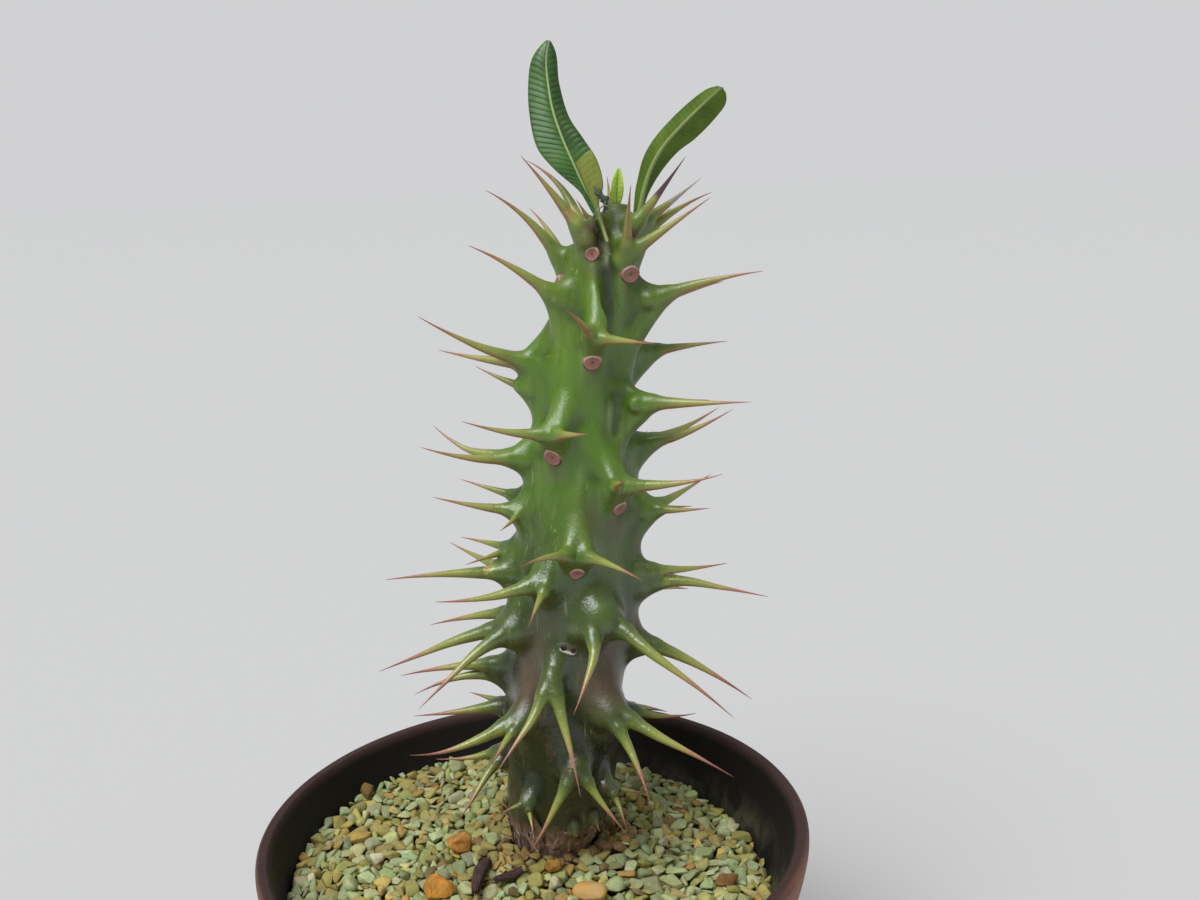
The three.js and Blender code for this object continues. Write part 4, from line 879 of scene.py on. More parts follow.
        scar_v.append(np.full(len(pv), 2.0))
    own_on = np.concatenate([np.zeros(sum(len(v) for v in VV[:n_plain])), np.ones(sum(len(v) for v in VV[n_plain:]))])
    own = np.concatenate([np.zeros((int((own_on == 0).sum()), 3))] + tints)
    crest = np.zeros(len(VV[0]))
    for a_, b_ in CRESTS:
        ab = b_ - a_
        t_ = ((VV[0] - a_) @ ab) / (ab @ ab)
        d_ = np.linalg.norm(VV[0] - a_ - np.clip(t_, 0, 1)[:, None] * ab, axis=1)
        crest = np.maximum(crest, np.exp(-((d_ / 0.75) ** 2)) * smooth(-0.05, 0.12, t_) * smooth(1.15, 0.75, t_))
    # hollow: above 0 in creases, below 0 on crests
    blur = full.copy()
    for _ in range(16):
        for axis in range(3):
            p = np.pad(blur, [(1, 1) if i == axis else (0, 0) for i in range(3)], mode="edge")
            a = [slice(None)] * 3
            b = [slice(None)] * 3
            a[axis], b[axis] = slice(0, -2), slice(2, None)
            blur = (p[tuple(a)] + blur + p[tuple(b)]) / 3
    bv, _ = sample(blur, lo, h, VV[0])
    fv, g0 = sample(full, lo, h, VV[0])
    hollow = np.clip(-(bv - fv) * 1.6, -1, 1)
    g0 /= np.maximum(np.linalg.norm(g0, axis=1), 1e-6)[:, None]
    under = np.clip(-g0[:, 2], 0, 1) * smooth(0.0, 1.5, np.hypot(VV[0][:, 0] - stem_x(VV[0][:, 2]), VV[0][:, 1] - STEM_Y) - stem_r(VV[0][:, 2]))
    HO = [hollow] + [np.zeros(len(v)) for v in VV[1:]]
    UN = [under] + [u for u in under_of]
    V = np.concatenate(VV)
    thorn, along = np.concatenate(TH), np.concatenate(LEN)
    ob = make_mesh("stem_visual", V, FF, dict(thorn=thorn, along=along, hollow=np.concatenate(HO),
                   under=np.concatenate(UN), dry=np.concatenate(dry), dry2=np.concatenate(dry2), scar=np.concatenate(scar_v),
                   is_scar=np.concatenate(is_scar), is_wound=np.concatenate(is_wound), scar_up=np.concatenate(scar_up), pit_shade=np.concatenate(pit_shade), pale=np.concatenate(pale),
                   own_on=own_on, own=own, crest=np.concatenate([crest] + [np.zeros(len(v)) for v in VV[1:]]), brown=blobs(V, BROWN), dark=blobs(V, SHADE_SPOTS)), materials=[mat])
    fix_normals(ob)
    thin_out(ob, np.arange(len(VV[0])), 190000)
    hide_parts("stem")
    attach(ob, "root")
    return ob


# --------------------------------------------------------------- stem material
def stem_material():
    m = Tree("stem_skin")
    P = m.pos()
    z = m.node("ShaderNodeSeparateXYZ", Vector=P).outputs[2]
    z = m.math("MULTIPLY", z, 1000.0)
    wob = m.noise(m.scaled(P, 1.0), 60.0, 3.0)
    zz = m.math("ADD", z, m.math("MULTIPLY", m.math("SUBTRACT", wob, 0.5), 26.0))
    thorn = m.attr("thorn")
    along = m.attr("along")
    hollow = m.attr("hollow")
    under = m.attr("under")
    # skin colour from the dark corky foot up to the bright young top
    n = m.node("ShaderNodeValToRGB")
    cr = n.color_ramp
    cr.interpolation = "B_SPLINE"
    stops = [(0.0, srgb(74, 60, 48)), (0.06, srgb(64, 58, 42)), (0.13, srgb(40, 45, 25)), (0.26, srgb(44, 53, 27)),
             (0.42, srgb(68, 84, 38)), (0.54, srgb(74, 102, 34)), (0.68, srgb(84, 126, 22)), (0.85, srgb(88, 122, 22)), (1.0, srgb(84, 106, 24))]
    while len(cr.elements) < len(stops):
        cr.elements.new(0.5)
    for e, (p, c) in zip(cr.elements, stops):
        e.position, e.color = p, c
    m.t.links.new(m.ramp(zz, 54.0, 206.0, smooth_step=False), n.inputs[0])
    skin = n.outputs[0]
    # lengthwise paler and darker streaks, stronger in the young part
    streak = m.noise(m.scaled(P, (1.0, 1.0, 0.13)), 330.0, 4.0, 0.6)
    young = m.ramp(z, 118.0, 150.0)
    skin = m.mix(m.math("MULTIPLY", m.ramp(streak, 0.52, 0.70), m.math("MULTIPLY_ADD", young, 0.16, 0.08)), skin, srgb(138, 166, 72))
    skin = m.mix(m.math("MULTIPLY", m.ramp(streak, 0.46, 0.28), 0.30), skin, srgb(38, 62, 20))
    # fine mottling of the skin cells
    cell = m.noise(P, 1500.0, 3.0, 0.6)
    skin = m.mix(m.math("MULTIPLY", m.ramp(cell, 0.55, 0.8), 0.10), skin, srgb(150, 174, 92))
    line = m.noise(m.scaled(P, (1.0, 1.0, 0.06)), 1500.0, 2.0, 0.5)
    where = m.ramp(m.noise(m.scaled(P, (1.0, 1.0, 0.5)), 190.0, 2.0, 0.5), 0.50, 0.66)
    skin = m.mix(m.math("MULTIPLY", m.math("MULTIPLY", m.ramp(line, 0.60, 0.68), where), 0.34), skin, srgb(178, 186, 128))
    freckle = m.math("MULTIPLY", m.ramp(m.noise(m.scaled(P, (1.0, 1.0, 0.7)), 620.0, 3.0, 0.6), 0.58, 0.68), m.ramp(m.noise(P, 95.0, 2.0), 0.48, 0.64))
    skin = m.mix(m.math("MULTIPLY", freckle, 0.34), skin, srgb(104, 92, 46))
    blush = m.ramp(m.noise(m.scaled(P, (1.0, 1.0, 0.35)), 120.0, 3.0, 0.5), 0.50, 0.68)
    skin = m.mix(m.math("MULTIPLY", blush, m.math("MULTIPLY", young, 0.30)), skin, srgb(118, 142, 30))
    # valleys darker as painted shade, convex crests lighter as painted highlight, and a pale stripe along the young
    # ridges
    skin = m.mix(m.math("MULTIPLY", m.ramp(hollow, 0.05, 0.5), m.math("MULTIPLY_ADD", young, 0.26, 0.28)), skin, srgb(30, 44, 14))
    skin = m.mix(m.math("MULTIPLY", m.ramp(hollow, -0.08, -0.5), 0.14), skin, srgb(140, 170, 70))
    skin = m.mix(m.math("MULTIPLY", m.math("MULTIPLY", m.attr("crest"), m.ramp(streak, 0.30, 0.62, 0.35, 0.85)), young), skin, srgb(156, 178, 116))
    # painted shade: the skin much darker in the valleys and on the flank turned from the light
    skin = m.mix(m.math("MULTIPLY", m.attr("dark"), 0.85, clamp=True), skin, srgb(26, 36, 10))
    # brown cork in patches, mostly in the lower half and under the tubercles
    patch = m.noise(m.scaled(P, (1.0, 1.0, 0.6)), 150.0, 5.0, 0.62, distortion=0.6)
    old = m.ramp(z, 150.0, 84.0)
    cork = m.math("MULTIPLY", m.ramp(m.math("ADD", patch, m.math("MULTIPLY_ADD", old, 0.14, -0.10)), 0.56, 0.68), m.math("MULTIPLY_ADD", old, 0.55, 0.10))
    cork = m.math("MAXIMUM", cork, m.math("MULTIPLY", m.ramp(under, 0.2, 0.85), 0.55))
    cork = m.math("MAXIMUM", cork, m.math("MULTIPLY", m.attr("brown"), m.ramp(patch, 0.22, 0.46, 0.25, 1.0), clamp=True))
    corkcol = m.mix(m.noise(P, 420.0, 4.0, 0.7), srgb(70, 56, 38), srgb(112, 88, 60))
    skin = m.mix(cork, skin, corkcol)
    # collar: pinkish-brown flaking bark at the very foot
    fr = m.noise(m.scaled(P, (1.0, 1.0, 0.3)), 700.0, 4.0, 0.7)
    collar = m.ramp(m.math("ADD", z, m.math("MULTIPLY", m.math("SUBTRACT", fr, 0.5), 9.0)), 69.6, 65.2)
    bark = m.mix(m.ramp(fr, 0.3, 0.7), srgb(100, 76, 62), srgb(198, 164, 142))
    skin = m.mix(collar, skin, bark)
    # pale scratches and specks
    scr = m.math("ABSOLUTE", m.math("SUBTRACT", m.noise(m.scaled(P, (1.0, 1.0, 0.75)), 150.0, 1.0, 0.4), 0.5))
    scr_on = m.math("MULTIPLY", m.ramp(m.noise(P, 110.0, 2.0), 0.52, 0.64), m.ramp(m.noise(P, 700.0, 2.0), 0.40, 0.62))
    skin = m.mix(m.math("MULTIPLY", m.math("MULTIPLY", m.ramp(scr, 0.011, 0.003), scr_on), 0.42), skin, srgb(166, 158, 116))
    # leaf scars: pinkish-brown discs with a pale rim and a dark middle
    scar = m.attr("scar")
    ring = m.math("MULTIPLY", m.ramp(scar, 0.72, 0.86), m.ramp(scar, 1.04, 0.94))
    disc = m.mix(m.noise(P, 900.0, 4.0, 0.7), srgb(138, 88, 76), srgb(186, 132, 116))
    disc = m.mix(m.math("MULTIPLY", m.ramp(scar, 0.26, 0.06), 0.8), disc, srgb(96, 54, 48))
    # painted shade along the lower edge of the raised rim, and painted highlight on its upper side
    disc = m.mix(m.math("MULTIPLY", m.ramp(scar, 0.80, 1.0), m.ramp(m.attr("scar_up"), 0.1, -0.5)), disc, srgb(84, 56, 44))
    disc = m.mix(m.math("MULTIPLY", ring, m.ramp(m.attr("scar_up"), 0.0, 0.75, 0.08, 0.9)), disc, srgb(222, 198, 182))
    # thorns: green root, olive-yellow shaft, reddish-brown needle
    tn = m.noise(P, 260.0, 3.0)
    a2 = m.math("ADD", along, m.math("MULTIPLY", m.math("SUBTRACT", tn, 0.5), 0.16))
    # the dry needle is longer on old thorns
    a2 = m.math("ADD", a2, m.math("MULTIPLY", m.ramp(z, 130.0, 100.0), m.ramp(along, 0.3, 0.7, 0.0, 0.13)))
    tr = m.node("ShaderNodeValToRGB")
    cr = tr.color_ramp
    cr.interpolation = "EASE"
    stops = [(0.0, srgb(88, 114, 44)), (0.20, srgb(120, 136, 54)), (0.44, srgb(152, 158, 74)), (0.62, srgb(168, 156, 86)), (0.78, srgb(172, 120, 86)), (1.0, srgb(146, 82, 72))]
    while len(cr.elements) < len(stops):
        cr.elements.new(0.5)
    for e, (p, c) in zip(cr.elements, stops):
        e.position, e.color = p, c
    m.t.links.new(a2, tr.inputs[0])
    tcol = tr.outputs[0]
    tcol = m.mix(m.math("MULTIPLY", m.math("MULTIPLY", m.ramp(under, 0.08, 0.65), m.math("MULTIPLY_ADD", young, 0.6, 0.4)), 0.75), tcol, srgb(158, 98, 54))
    tcol = m.mix(m.math("MULTIPLY", m.ramp(m.noise(m.scaled(P, 1.0), 1800.0, 2.0), 0.5, 0.8), 0.10), tcol, srgb(190, 186, 130))
    tcol = m.mix(m.attr("dry"), tcol, m.mix(m.ramp(m.attr("dry2"), 0.6, 0.9), m.mix(m.ramp(m.attr("dry2"), 0.2, 0.45), srgb(82, 54, 56), srgb(136, 98, 58)), srgb(182, 170, 156)))
    col = m.mix(m.math("MULTIPLY", m.ramp(thorn, 0.2, 0.8), m.ramp(a2, 0.02, 0.30)), skin, tcol)
    is_scar = m.attr("is_scar")
    col = m.mix(is_scar, col, disc)
    own = m.mix(m.math("MULTIPLY", m.ramp(m.noise(m.scaled(P, (1, 1, 0.35)), 1900.0, 3.0, 0.7), 0.35, 0.7), 0.6), m.attr("own", "Color"), m.mix(0.6, m.attr("own", "Color"), srgb(40, 30, 24)))
    is_wound = m.attr("is_wound")
    wound = m.mix(m.noise(P, 900.0, 3.0), srgb(78, 76, 50), srgb(112, 104, 72))
    wound = m.mix(m.ramp(m.attr("pale"), 0.22, 0.42), wound, srgb(226, 220, 200))
    # painted shade in the two pits of the wound
    wound = m.mix(m.ramp(m.attr("pit_shade"), 0.15, 0.45), wound, srgb(20, 13, 10))
    wound = m.mix(m.ramp(scar, 0.72, 0.92), wound, skin)
    col = m.mix(is_wound, col, wound)
    col = m.mix(m.attr("own_on"), col, own)
    rough = m.math("MULTIPLY_ADD", m.noise(P, 240.0, 3.0), 0.20, m.ramp(z, 120.0, 160.0, 0.18, 0.27))
    rough = m.math("ADD", rough, m.math("MULTIPLY", cork, 0.25))
    rough = m.math("ADD", rough, m.math("MULTIPLY", m.attr("dark"), 0.22))
    rough = m.math("ADD", rough, m.math("MULTIPLY", collar, 0.35))
    rough = m.math("MAXIMUM", rough, m.math("MULTIPLY", m.math("MAXIMUM", is_scar, m.attr("own_on")), 0.75), clamp=True)
    fine = m.math("MULTIPLY_ADD", cell, 0.5, m.math("MULTIPLY", streak, 0.8))
    fine = m.math("ADD", fine, m.math("MULTIPLY", m.math("MULTIPLY", m.noise(m.scaled(P, (1, 1, 0.5)), 650.0, 4.0, 0.65), 2.0), m.math("MAXIMUM", cork, collar)))
    wrinkle = m.noise(m.scaled(P, (1.0, 1.0, 2.4)), 520.0, 2.0, 0.5)
    fine = m.math("ADD", fine, m.math("MULTIPLY", wrinkle, m.ramp(z, 150.0, 110.0, 0.10, 0.26)))
    nrm = m.bump(fine, 0.28, 0.0006)
    m.set(Base_Color=col, Roughness=rough, Normal=nrm)
    m.bsdf.inputs["Specular IOR Level"].default_value = 0.85
    # a thin waxy bloom spreads the shine on the old skin
    m.t.links.new(m.math("MULTIPLY", m.ramp(z, 140.0, 112.0), m.math("MULTIPLY_ADD", collar, -0.13, 0.13)), m.bsdf.inputs["Coat Weight"])
    m.bsdf.inputs["Coat Roughness"].default_value = 0.40
    return m.mat


# ------------------------------------------------------------------------- pot
def rounded(profile, times=2, keep=()):
    """Corner cutting on a closed profile; corners listed in keep stay sharper."""
    P = np.array(profile, float)
    tag = np.array([i in keep for i in range(len(P))])
    for _ in range(times):
        out, t2 = [], []
        for i in range(len(P)):
            a, b, c = P[i - 1], P[i], P[(i + 1) % len(P)]
            la, lc = np.linalg.norm(a - b), np.linalg.norm(c - b)
            q = 0.08 if tag[i] else 0.25
            out += [b + (a - b) * q, b + (c - b) * q]
            t2 += [tag[i], tag[i]]
        P, tag = np.array(out), np.array(t2)
    return P


def pot_material():
    m = Tree("pot_clay")
    P = m.pos()
    s = m.node("ShaderNodeSeparateXYZ", Vector=P)
    z = m.math("MULTIPLY", s.outputs[2], 1000.0)
    inside = m.attr("inside")
    rim = m.attr("rim")
    blotch = m.noise(m.scaled(P, (1, 1, 1.6)), 38.0, 5.0, 0.6)
    grain = m.noise(P, 900.0, 4.0, 0.7)
    speck = m.noise(P, 2600.0, 2.0, 0.5)
    out = m.mix(blotch, srgb(112, 70, 54), srgb(164, 102, 72))
    out = m.mix(m.math("MULTIPLY", m.ramp(grain, 0.45, 0.72), 0.45), out, srgb(168, 112, 84))
    out = m.mix(m.math("MULTIPLY", m.ramp(z, 66.0, 40.0), 0.25), out, srgb(160, 96, 62))
    lip = m.mix(blotch, srgb(44, 28, 25), srgb(68, 46, 42))
    lip = m.mix(m.math("MULTIPLY", m.ramp(grain, 0.5, 0.75), 0.45), lip, srgb(86, 61, 53))
    lip = m.mix(m.math("MULTIPLY", m.ramp(speck, 0.62, 0.75), 0.3), lip, srgb(112, 86, 74))
    inn = m.mix(blotch, srgb(14, 11, 10), srgb(22, 17, 15))
    # dried lime and dust low inside, in vague patches that run down
    dust = m.noise(m.scaled(P, (1, 1, 0.7)), 105.0, 6.0, 0.68, distortion=0.4)
    low = m.ramp(z, 64.0, 54.0)
    inn = m.mix(m.math("MULTIPLY", m.math("MULTIPLY", m.ramp(dust, 0.40, 0.66), low), 0.52), inn, srgb(112, 110, 84))
    inn = m.mix(m.math("MULTIPLY", m.ramp(grain, 0.55, 0.8), 0.25), inn, srgb(42, 34, 30))
    col = m.mix(inside, out, inn)
    col = m.mix(rim, col, lip)
    # worn edge outside the lip
    worn = m.math("MULTIPLY", m.attr("edge"), m.ramp(m.noise(P, 70.0, 4.0), 0.30, 0.66))
    col = m.mix(m.math("MULTIPLY", worn, 0.45), col, srgb(170, 108, 84))
    rings = m.noise(m.scaled(P, (0.02, 0.02, 1.0)), 900.0, 3.0, 0.6)
    h = m.math("MULTIPLY_ADD", grain, 0.7, m.math("MULTIPLY_ADD", rings, 0.8, m.math("MULTIPLY", speck, 0.35)))
    rough = m.math("MULTIPLY_ADD", blotch, 0.25, 0.46)
    rough = m.math("ADD", rough, m.math("MULTIPLY", inside, 0.12), clamp=True)
    m.set(Base_Color=col, Roughness=rough, Normal=m.bump(h, 0.35, 0.0004))
    m.bsdf.inputs["Specular IOR Level"].default_value = 0.4
    return m.mat


def build_pot():
    lip_top = len(POT_OUTER) - 1
    prof = POT_OUTER + POT_INNER + [(34.8, 6.0), (6.5, 6.0), (6.5, 1.6), (27, 1.6), (28.5, 0)]
    n_out, n_in = len(POT_OUTER), len(POT_INNER)
    sharp = {0, lip_top, lip_top + 1, n_out + n_in, n_out + n_in + 1, n_out + n_in + 2, n_out + n_in + 3, n_out + n_in + 4}
    R = rounded(prof, 3, sharp)
    # denser rings where a wall runs straight
    dense = []
    for i in range(len(R)):
        a, b = R[i], R[(i + 1) % len(R)]
        k = max(1, int(np.linalg.norm(b - a) / 2.4))
        dense += [a + (b - a) * j / k for j in range(k)]
    R = np.array(dense)
    seg = 200
    ang = np.arange(seg) / seg * 2 * np.pi
    c, s = np.cos(ang), np.sin(ang)
    r, z = R[:, 0][:, None], R[:, 1][:, None]
    P = np.stack([r * c, r * s, z + 0 * c], -1)
    Q = P.reshape(-1, 3)
    # the casting's slight unevenness, none on the foot or the drain hole
    wob = fractal(Q * np.array([1, 1, 1.0]), 34.0, 2, 3) * 0.10 + fractal(Q, 7.0, 2, 8) * 0.035
    ok = smooth(4, 12, Q[:, 2]) * smooth(20, 34, np.hypot(Q[:, 0], Q[:, 1]))
    rad = np.hypot(Q[:, 0], Q[:, 1])
    scale = 1 - np.clip(0.06 + wob, 0, 0.3) * ok / rad * (rad > 50)
    Q = Q * np.stack([scale, scale, np.ones(len(Q))], 1)
    n = len(R)
    i = np.arange(n)[:, None]
    j = np.arange(seg)[None]
    F = np.stack([i * seg + j, i * seg + (j + 1) % seg, ((i + 1) % n) * seg + (j + 1) % seg, ((i + 1) % n) * seg + j], -1).reshape(-1, 4)
    rad0, z0 = np.repeat(R[:, 0], seg), np.repeat(R[:, 1], seg)
    inner_r = np.interp(z0, [6.4, 12, 27, 42, 52, 60, 66, 72], [35.4, 38.4, 43.2, 48.2, 52.4, 55, 56.2, 57.6])
    outer_r = np.interp(z0, [p[1] for p in POT_OUTER], [p[0] for p in POT_OUTER])
    mid = (inner_r + outer_r) / 2
    inside = smooth(-0.4, 0.5, mid - rad0) * (z0 > 5.9)
    rim = smooth(69.6, 71.3, z0)
    edge = np.exp(-(((rad0 - 59.8) / 0.45) ** 2)) * smooth(69.5, 71, z0)
    ob = make_mesh("pot_visual", Q, F, dict(inside=inside, rim=rim, edge=edge), materials=[pot_material()])
    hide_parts("pot")
    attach(ob, "root")


# ---------------------------------------------------------------------- gravel
def chip_shape(seed, flat=1.0, points=13, round_off=0.12, soften=1):
    """A broken stone chip about 1 across: a faceted hull with blunted edges."""
    import bmesh
    rng = np.random.default_rng(seed)
    p = rng.normal(size=(points, 3))
    p /= np.linalg.norm(p, axis=1)[:, None]
    p = np.sign(p) * np.abs(p) ** rng.uniform(0.7, 1.0)
    p *= np.array([1.0, rng.uniform(0.60, 0.95), rng.uniform(0.50, 0.84) * flat])
    p *= rng.uniform(0.86, 1.0, (points, 1))
    bm = bmesh.new()
    for q in p:
        bm.verts.new(q)
    res = bmesh.ops.convex_hull(bm, input=bm.verts[:], use_existing_faces=False)
    loose = [v for v in bm.verts if not v.link_faces]
    bmesh.ops.delete(bm, geom=loose, context="VERTS")
    bmesh.ops.dissolve_limit(bm, angle_limit=math.radians(14), verts=bm.verts[:], edges=bm.edges[:])
    bmesh.ops.bevel(bm, geom=bm.edges[:], offset=round_off, segments=1, profile=0.5, affect="EDGES", clamp_overlap=True)
    bmesh.ops.triangulate(bm, faces=bm.faces[:])
    bmesh.ops.remove_doubles(bm, verts=bm.verts[:], dist=1e-4)
    for _ in range(soften):
        bmesh.ops.smooth_vert(bm, verts=bm.verts[:], factor=0.3, use_axis_x=True, use_axis_y=True, use_axis_z=True)
    bmesh.ops.recalc_face_normals(bm, faces=bm.faces[:])
    bm.verts.index_update()
    V = np.array([v.co[:] for v in bm.verts])
    F = np.array([[v.index for v in f.verts] for f in bm.faces], np.int32)
    bm.free()
    c = (V.max(0) + V.min(0)) / 2
    V = (V - c) / (V.max(0) - V.min(0)).max()
    return V, F


def weighted_normals(V, F):
    """Vertex normals led by the larger faces, so that flat faces stay flat beside blunted edges."""
    n = np.cross(V[F[:, 1]] - V[F[:, 0]], V[F[:, 2]] - V[F[:, 0]])
    a = np.linalg.norm(n, axis=1, keepdims=True)
    w = n
    N = np.zeros_like(V)
    for i in range(3):
        np.add.at(N, F[:, i], w)
    return N / np.maximum(np.linalg.norm(N, axis=1, keepdims=True), 1e-12)


def rotation(rng, tilt):
    """A turn about the vertical after a tilt of at most the given angle."""
    a, b, c = rng.uniform(0, 2 * np.pi), rng.uniform(0, 2 * np.pi), rng.normal() * tilt
    ax = np.array([math.cos(b), math.sin(b), 0])
    K = np.array([[0, -ax[2], ax[1]], [ax[2], 0, -ax[0]], [-ax[1], ax[0], 0]])
    T = np.eye(3) + math.sin(c) * K + (1 - math.cos(c)) * K @ K
    Z = np.array([[math.cos(a), -math.sin(a), 0], [math.sin(a), math.cos(a), 0], [0, 0, 1]])
    return Z @ T


CELL = 0.4


def footprint(V, F):
    """Cells under a chip centred on the origin, with its lower and upper height in each."""
    lo = np.floor(V[:, :2].min(0) / CELL).astype(int)
    hi = np.ceil(V[:, :2].max(0) / CELL).astype(int)
    xs = (np.arange(lo[0], hi[0]) + 0.5) * CELL
    ys = (np.arange(lo[1], hi[1]) + 0.5) * CELL
    X, Y = np.meshgrid(xs, ys, indexing="ij")
    A, B, C = V[F[:, 0]], V[F[:, 1]], V[F[:, 2]]
    d = (B[:, 1] - C[:, 1]) * (A[:, 0] - C[:, 0]) + (C[:, 0] - B[:, 0]) * (A[:, 1] - C[:, 1])
    ok = np.abs(d) > 1e-9
    A, B, C, d = A[ok], B[ok], C[ok], d[ok]
    px, py = X.ravel()[:, None], Y.ravel()[:, None]
    u = ((B[:, 1] - C[:, 1]) * (px - C[:, 0]) + (C[:, 0] - B[:, 0]) * (py - C[:, 1])) / d
    v = ((C[:, 1] - A[:, 1]) * (px - C[:, 0]) + (A[:, 0] - C[:, 0]) * (py - C[:, 1])) / d
    w = 1 - u - v
    inside = (u >= 0) & (v >= 0) & (w >= 0)
    zz = u * A[:, 2] + v * B[:, 2] + w * C[:, 2]
    zlo = np.where(inside, zz, 1e9).min(1)
    zhi = np.where(inside, zz, -1e9).max(1)
    hit = inside.any(1)
    I, J = np.meshgrid(np.arange(lo[0], hi[0]), np.arange(lo[1], hi[1]), indexing="ij")
    return I.ravel()[hit], J.ravel()[hit], zlo[hit], zhi[hit]


# name, x, y, length, depth, height, turn in degrees, colours
STONES = [
    ("stone_orange_left", -17.8, 5.8, 5.6, 4.6, 4.4, 20, "stone_orange", (212, 152, 74), (168, 108, 44), 2),
    ("stone_orange_front_left", -20.8, -7.9, 7.6, 5.0, 4.2, -15, "stone_orange", (214, 148, 58), (166, 112, 40), 5),
    ("stone_orange_front", 11.7, -9.4, 7.8, 4.6, 3.4, -22, "stone_orange", (210, 158, 74), (196, 160, 104), 7),
    ("stone_yellow_front", 3.7, -2.9, 4.0, 3.2, 3.6, 10, "stone_orange", (176, 130, 48), (134, 98, 40), 9),
    ("stone_white_left", -36.4, 3.6, 3.0, 2.6, 2.6, 35, "stone_pale", (226, 220, 190), (196, 186, 150), 11),
    ("stone_brown_right", 42.2, -0.7, 5.4, 3.8, 3.0, 12, "stone_brown", (150, 108, 52), (112, 76, 44), 14),
    ("stone_pale_front", 4.1, -7.0, 3.0, 2.8, 3.0, 50, "stone_pale", (206, 200, 160), (172, 166, 124), 17),
    ("stone_ochre_wall", -43.2, 30.4, 3.8, 3.0, 4.0, 60, "stone_brown", (138, 106, 56), (100, 78, 40), 19),
]


def chip_material(name, light, dark, dust=srgb(190, 190, 160)):
    m = Tree(name)
    P = m.pos()
    n1 = m.noise(P, 330.0, 5.0, 0.62, distortion=0.5)
    n2 = m.noise(P, 1500.0, 4.0, 0.7)
    vein = m.voronoi(m.scaled(P, (1, 1.4, 0.8)), 420.0, "DISTANCE_TO_EDGE")
    col = m.mix(m.ramp(n1, 0.36, 0.64), dark, light)
    col = m.mix(m.math("MULTIPLY", m.ramp(vein, 0.06, 0.0), 0.4), col, dark)
    col = m.mix(m.math("MULTIPLY", m.ramp(n2, 0.52, 0.75), 0.35), col, dust)
    h = m.math("MULTIPLY_ADD", n1, 1.2, m.math("MULTIPLY", n2, 0.6))
    m.set(Base_Color=col, Roughness=m.math("MULTIPLY_ADD", n2, 0.25, 0.6), Normal=m.bump(h, 0.5, 0.0005))
    m.bsdf.inputs["Specular IOR Level"].default_value = 0.3
    return m.mat


def gravel_material():
    """Chips that carry their own tint; mottling, iron stains and dust are shared."""
    m = Tree("gravel")
    P = m.pos()
    tint = m.mix(0.20, m.attr("tint", "Color"), srgb(160, 162, 112))
    shift = m.scaled(m.attr("own", "Vector"), 1.0)
    Q = m.node("ShaderNodeVectorMath", {"operation": "ADD"}, i0=P, i1=shift).outputs[0]
    n1 = m.noise(Q, 420.0, 4.0, 0.6, distortion=0.4)
    n2 = m.noise(Q, 1900.0, 3.0, 0.65)
    n3 = m.noise(Q, 260.0, 3.0, 0.6)
    dark = m.mix(0.26, tint, srgb(84, 76, 40))
    light = m.mix(0.30, tint, srgb(206, 208, 176))
    col = m.mix(m.ramp(n1, 0.34, 0.60), dark, tint)
    col = m.mix(m.math("MULTIPLY", m.ramp(n2, 0.50, 0.74), 0.75), col, light)
    col = m.mix(m.math("MULTIPLY", m.ramp(n3, 0.60, 0.72), 0.45), col, srgb(156, 124, 58))
    # painted shade low between the chips and round the foot of the stem
    chip_shade = m.attr("chip_shade")
    col = m.mix(m.math("MULTIPLY", chip_shade, 0.5), col, srgb(70, 54, 28))
    h = m.math("MULTIPLY_ADD", n1, 1.2, m.math("MULTIPLY", n2, 0.7))
    m.set(Base_Color=col, Roughness=m.math("MULTIPLY_ADD", n2, 0.25, 0.62), Normal=m.bump(h, 0.5, 0.0004))
    m.bsdf.inputs["Specular IOR Level"].default_value = 0.25
    return m.mat


# kind: share, colour, spread of brightness, piece it belongs to
KINDS = [
    (0.25, (172, 180, 128), 0.10, "gravel_sage"),
    (0.20, (160, 174, 128), 0.10, "gravel_sage"),
    (0.14, (188, 194, 148), 0.09, "gravel_sage"),
    (0.13, (168, 164, 96), 0.10, "gravel_olive"),
    (0.10, (166, 154, 78), 0.11, "gravel_olive"),
    (0.08, (178, 154, 84), 0.12, "gravel_ochre"),
    (0.045, (174, 130, 62), 0.12, "gravel_ochre"),
    (0.025, (124, 92, 52), 0.14, "gravel_ochre"),
    (0.015, (208, 200, 168), 0.07, "gravel_sage"),
]


